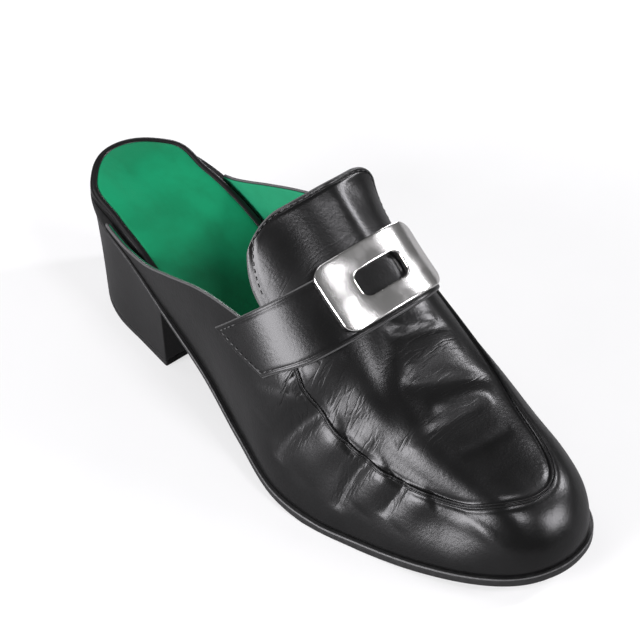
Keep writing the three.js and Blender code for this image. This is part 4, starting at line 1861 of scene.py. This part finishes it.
    def build(self) -> None:
        """Makes the leather, the lining and the stitching along the edge."""
        leather = self.layer(-1.0, 0.7, 0.0, 1.0)
        finish_piece(leather, "tongue_leather", STRAP_CALF, Slot.UPPER, ["tongue"])
        finish_piece(self.layer(-2.12, 0.48, 0.5, 0.6), "tongue_lining", LINING, Slot.LINING)
        self.seam()

    def seam(self) -> None:
        """Stitches inside the edge, up one side, over the end and down the other."""
        place = 1 - self.seam_inset / self.half_width
        up = np.linspace(0.12, 1 - self.seam_inset / self.length, 60)
        over = np.linspace(-place, place, 90)
        sides = self.grid(np.empty(0), up, np.array([-place, place]))
        top = self.grid(np.empty(0), np.array([up[-1]]), over)[0]
        path = np.concatenate([sides[:, 0], top[1:-1], sides[::-1, 1]])
        wide = self.grid(np.empty(0), up, np.array([-place + 0.1, place - 0.1]))
        deep = self.grid(np.empty(0), np.array([up[-1] - 0.06]), over)[0]
        inward = np.concatenate([wide[:, 0] - sides[:, 0], deep[1:-1] - top[1:-1], (wide - sides)[::-1, 1]])
        along = unit(np.gradient(path, axis=0))
        normal = unit(np.cross(along, inward))
        normal *= np.sign(normal[:, 2:])
        run = stitches(path - normal * 0.55, normal, *self.stitch)
        finish_piece(run, "tongue_stitching", THREAD, Slot.THREAD)


# ---- saddle strap and ornament --------------------------------------------------------------


@dataclass(frozen=True)
class SaddleStrap:
    """The strap over the instep, sewn down at both its ends.

    end_back and end_front are the (distance, height) corners of its ends. long and wide are its
    own length and width, for spacing its grid. turned_edge is (depth, centre, width) of a bell
    from its edge, and stitch is (length, gap, radius).
    """

    back_line: float = 54.0
    width: float = 36.0
    end_back: tuple[float, float] = (108.0, 54.8)
    end_front: tuple[float, float] = (137.0, 50.5)
    narrowing: float = 3.5
    lift: float = 1.2
    half: float = 0.95
    long: float = 150.0
    wide: float = 25.5
    turned_edge: tuple[float, float, float] = (0.22, 2.1, 0.5)
    seam_inset: float = 2.1
    stitch: tuple[float, float, float] = (2.0, 0.7, 0.24)

    def places(self, across: Array, along: Array) -> tuple[Array, Array]:
        """Places on the last under the strap.

        Args:
            across: Shares from the back edge (0) to the front edge (1).
            along: Shares from the lateral end (-1) over the ridge (0) to the medial end (1).

        Returns:
            Places and outward normals, of the arguments' broadcast shape.
        """
        across, along = np.broadcast_arrays(across, along)
        side = np.where(along < 0, -1.0, 1.0)
        distance = self.end_back[0] + (self.end_front[0] - self.end_back[0]) * across
        height = self.end_back[1] + (self.end_front[1] - self.end_back[1]) * across
        end = LAST.girth_at_height(distance, height)
        girth = 1 - np.abs(along) * (1 - end)
        narrow = self.narrowing * smoothstep(np.abs(along), 0.62, 1.0)
        number = self.back_line + (self.width - narrow) * across
        place = LAST.slant(number, side, girth)
        return LAST.point(place, side, girth), LAST.normal(place, side, girth)

    def build(self) -> None:
        """Makes the strap and its stitching."""
        long, wide = self.long, self.wide
        steps = edge_steps(self.half, 6, (1.3, 1.8, 2.3))
        inner = np.linspace(steps[-1], wide - steps[-1], 34)
        across = np.concatenate([steps[:-1], inner, (wide - steps[:-1])[::-1]]) / wide
        middle = np.linspace(steps[-1], long - steps[-1], 170)
        along = np.concatenate([steps[:-1], middle, (long - steps[:-1])[::-1]]) / long * 2 - 1
        grid, _ = self.places(across[:, None], along[None])
        rows, columns = arc_length(grid, 0), arc_length(grid, 1)
        edge = np.minimum(
            np.minimum(rows, rows[-1:] - rows), np.minimum(columns, columns[:, -1:] - columns)
        )
        base = Surface().grid(grid, half=self.half * edge_round(edge, self.half), edge=edge)
        base = base.merged().facing((4.0, 130.0, 30.0))
        base.marks["worn"] = 0.15 + 0.3 * bell(base.marks["edge"], 0.0, 1.5)
        depth, *turned_at = self.turned_edge
        shaped = base.moved(self.lift - depth * bell(base.marks["edge"], *turned_at))
        strap = shaped.thick(shaped.marks.pop("half"))
        finish_piece(strap, "strap_leather", STRAP_CALF, Slot.UPPER, ["saddle_strap"])
        self.seam()

    def seam(self) -> None:
        """Stitches inside each end, turning a little way along both edges."""
        inset = self.seam_inset / self.wide
        for side in Side:
            stop = 1 - 2 * self.seam_inset / self.long
            leg = np.linspace(stop - 0.12, stop, 16)
            cross = np.linspace(inset, 1 - inset, 60)
            across = np.concatenate([np.full(15, inset), cross, np.full(15, 1 - inset)])
            along = np.concatenate([leg[:-1], np.full(60, stop), leg[:-1][::-1]])
            path, normal = self.places(across, side.value * along)
            run = stitches(path + normal * (self.lift + self.half - 0.1), normal, *self.stitch)
            finish_piece(run, f"strap_stitching_{side.name.lower()}", THREAD, Slot.THREAD)


@dataclass(frozen=True)
class Ornament:
    """A plain polished frame with one window, bent to the instep over the strap."""

    centre: tuple[float, float, float] = (2.5, 149.5, 82.5)
    pitch: float = 34.0
    size: tuple[float, float] = (41.0, 27.0)
    corner: float = 5.0
    window: tuple[float, float] = (19.0, 10.0)
    window_corner: float = 3.0
    lift: float = 2.6
    thickness: float = 2.6
    bevel: float = 0.7
    foot: float = 0.3
    crown: float = 0.05
    count: int = 240

    @staticmethod
    def rounded(size: tuple[float, float], corner: float, turn: Array) -> Array:
        """A rounded rectangle, as (across, up) at each angle of turn.

        Args:
            size: Its width and height.
            corner: Its corners' radius.
            turn: Angles from 0 to a full turn.

        Returns:
            Points of shape (angles, 2).
        """
        box = np.array(size) / 2 - corner
        heading = np.stack([np.cos(turn), np.sin(turn)], 1)
        return box[None] * np.clip(heading * 6.0, -1, 1) + corner * heading

    def place(self, flat: Array, height: Array) -> Array:
        """Places at (across, up) of the frame's plane and a height over the last.

        The plane is followed back along its own normal to where the last is met, by halving.

        Args:
            flat: Points (across, up) of the plane.
            height: Heights over the last, one for each point.

        Returns:
            Places, one for each point.
        """
        pitch = math.radians(self.pitch)
        up = np.array([0.0, -math.cos(pitch), math.sin(pitch)])
        out = np.array([0.0, math.sin(pitch), math.cos(pitch)])
        start = np.array(self.centre) + flat[..., :1] * np.array([1.0, 0, 0]) + flat[..., 1:] * up
        low, high = np.full(flat.shape[:-1], -30.0), np.full(flat.shape[:-1], 20.0)
        for _ in range(26):
            middle = (low + high) / 2
            at = start + middle[..., None] * out
            side, girth = LAST.girth_at_x(at[..., 1], at[..., 0])
            above = at[..., 2] > LAST.point(at[..., 1], side, girth)[..., 2]
            high = np.where(above, middle, high)
            low = np.where(above, low, middle)
        at = start + low[..., None] * out
        side, girth = LAST.girth_at_x(at[..., 1], at[..., 0])
        return at + LAST.normal(at[..., 1], side, girth) * height[..., None]

    def build(self) -> None:
        """Carries a bevelled section round the frame."""
        turn = np.linspace(0, 2 * np.pi, self.count, endpoint=False)
        outer = self.rounded(self.size, self.corner, turn)
        inner = self.rounded(self.window, self.window_corner, turn)
        b, t = self.bevel, self.thickness
        arc = np.linspace(0, np.pi / 2, 6)
        corner = np.stack([b * (1 - np.sin(arc)), -b * (1 - np.cos(arc))], 1)
        width = np.linalg.norm(outer - inner, axis=1)[:, None]
        span = np.linspace(0.0, 1.0, 9)[1:-1]
        down, up = corner, corner[::-1]
        in_from_rim = b / width
        share = np.concatenate([
            1 - down[:, 0] / width, np.ones_like(width), 1 - in_from_rim, in_from_rim,
            np.zeros_like(width), up[:, 0] / width, in_from_rim + span * (1 - 2 * in_from_rim),
        ], 1)
        face = t + self.crown * np.sin(np.pi * span)
        rise = np.concatenate([t + down[:, 1], [self.foot, 0.0, 0.0, self.foot], t + up[:, 1], face])
        flat = inner[:, None] + (outer - inner)[:, None] * share[..., None]
        grid = self.place(flat, self.lift + np.broadcast_to(rise, share.shape))
        frame_piece = Surface().grid(grid, wrap_rows=True, wrap_columns=True)
        finish_piece(frame_piece, "ornament_frame", SILVER, Slot.METAL, ["ornament"])


# ---- studio ---------------------------------------------------------------------------------


@dataclass(frozen=True)
class Lamp:
    """A soft rectangular light that looks at a point."""

    name: str
    place: tuple[float, float, float]
    target: tuple[float, float, float]
    size: tuple[float, float]
    power: float
    colour: tuple[float, float, float] = (0.975, 0.96, 1.0)

    def build(self) -> None:
        """Makes the light."""
        data = bpy.data.lights.new(self.name, "AREA")
        data.shape = "RECTANGLE"
        data.size, data.size_y = self.size
        data.energy = self.power
        data.color = self.colour
        lamp = bpy.data.objects.new(self.name, data)
        lamp.location = self.place
        aim = Vector(self.target) - Vector(self.place)
        lamp.rotation_euler = aim.to_track_quat("-Z", "Y").to_euler()
        bpy.context.scene.collection.objects.link(lamp)


@dataclass(frozen=True)
class Studio:
    """Floor, lights and camera.

    ambient is what the surround gives the shoe, and backdrop how bright the camera sees it.
    """

    ambient: float = 0.12
    backdrop: float = 0.97
    lens: float = 176.0
    distance: float = 1.13
    azimuth: float = 228.4
    elevation: float = 41.6
    target: tuple[float, float, float] = (0.0, 0.0, 0.046)
    floor_reach: float = 6.0
    lamps: tuple[Lamp, ...] = (
        Lamp("window", (1.28, -0.55, 0.88), (0.0, 0.0, 0.06), (0.22, 0.40), 13.0),
        Lamp("toe", (0.76, -1.15, 0.60), (0.0, -0.11, 0.03), (0.34, 0.30), 9.0),
        Lamp("left", (-1.4, 0.15, 0.40), (0.0, 0.0, 0.04), (0.85, 0.74), 44.0),
        Lamp("front", (-0.06, -1.05, 1.20), (0.0, 0.0, 0.08), (0.32, 0.32), 8.0),
        Lamp("right", (1.00, 0.92, 0.17), (0.0, 0.0, 0.04), (0.60, 0.28), 6.0),
        Lamp("overhead", (-0.1, 0.75, 1.3), (0.0, 0.0, 0.05), (0.9, 0.7), 4.5),
    )

    def build(self) -> None:
        """Sets the stage."""
        self.floor()
        for lamp in self.lamps:
            lamp.build()
        self.sky()
        self.camera()
        bpy.context.scene.view_settings.view_transform = "Standard"

    def floor(self) -> None:
        """A wide pale plane under the shoe."""
        reach = self.floor_reach
        corners = [(-reach, -reach, 0), (reach, -reach, 0), (reach, reach, 0), (-reach, reach, 0)]
        mesh = bpy.data.meshes.new("floor")
        mesh.from_pydata(corners, [], [(0, 1, 2, 3)])
        floor = bpy.data.objects.new("floor", mesh)
        bpy.context.scene.collection.objects.link(floor)
        WARDROBE.dress(floor, FLOOR)

    def sky(self) -> None:
        """An even pale surround."""
        world = bpy.data.worlds.new("surround")
        world.use_nodes = True
        tree = world.node_tree
        background = tree.nodes["Background"]
        background.inputs["Color"].default_value = (1.0, 1.0, 1.0, 1.0)
        rays = tree.nodes.new("ShaderNodeLightPath")
        seen = tree.nodes.new("ShaderNodeMapRange")
        seen.inputs["To Min"].default_value = self.ambient
        seen.inputs["To Max"].default_value = self.backdrop
        tree.links.new(rays.outputs["Is Camera Ray"], seen.inputs["Value"])
        tree.links.new(seen.outputs["Result"], background.inputs["Strength"])
        bpy.context.scene.world = world

    def camera(self) -> None:
        """A long lens that looks down at the shoe from ahead on its lateral side."""
        turn, rise = math.radians(self.azimuth), math.radians(self.elevation)
        heading = Vector((math.cos(turn) * math.cos(rise), math.sin(turn) * math.cos(rise), math.sin(rise)))
        data = bpy.data.cameras.new("camera")
        data.lens = self.lens
        camera = bpy.data.objects.new("camera", data)
        camera.location = Vector(self.target) + heading * self.distance
        camera.rotation_euler = (-heading).to_track_quat("-Z", "Y").to_euler()
        bpy.context.scene.collection.objects.link(camera)
        bpy.context.scene.camera = camera


def main() -> None:
    """Builds the shoe from the ground up, then the studio."""
    logging.basicConfig(level=logging.INFO, format="%(name)s: %(message)s")
    Outsole().build()
    Heel().build()
    Footbed().build()
    Upper().build()
    ApronSeam().build()
    Tongue().build()
    SaddleStrap().build()
    Ornament().build()
    Studio().build()


if __name__ == "__main__":
    main()
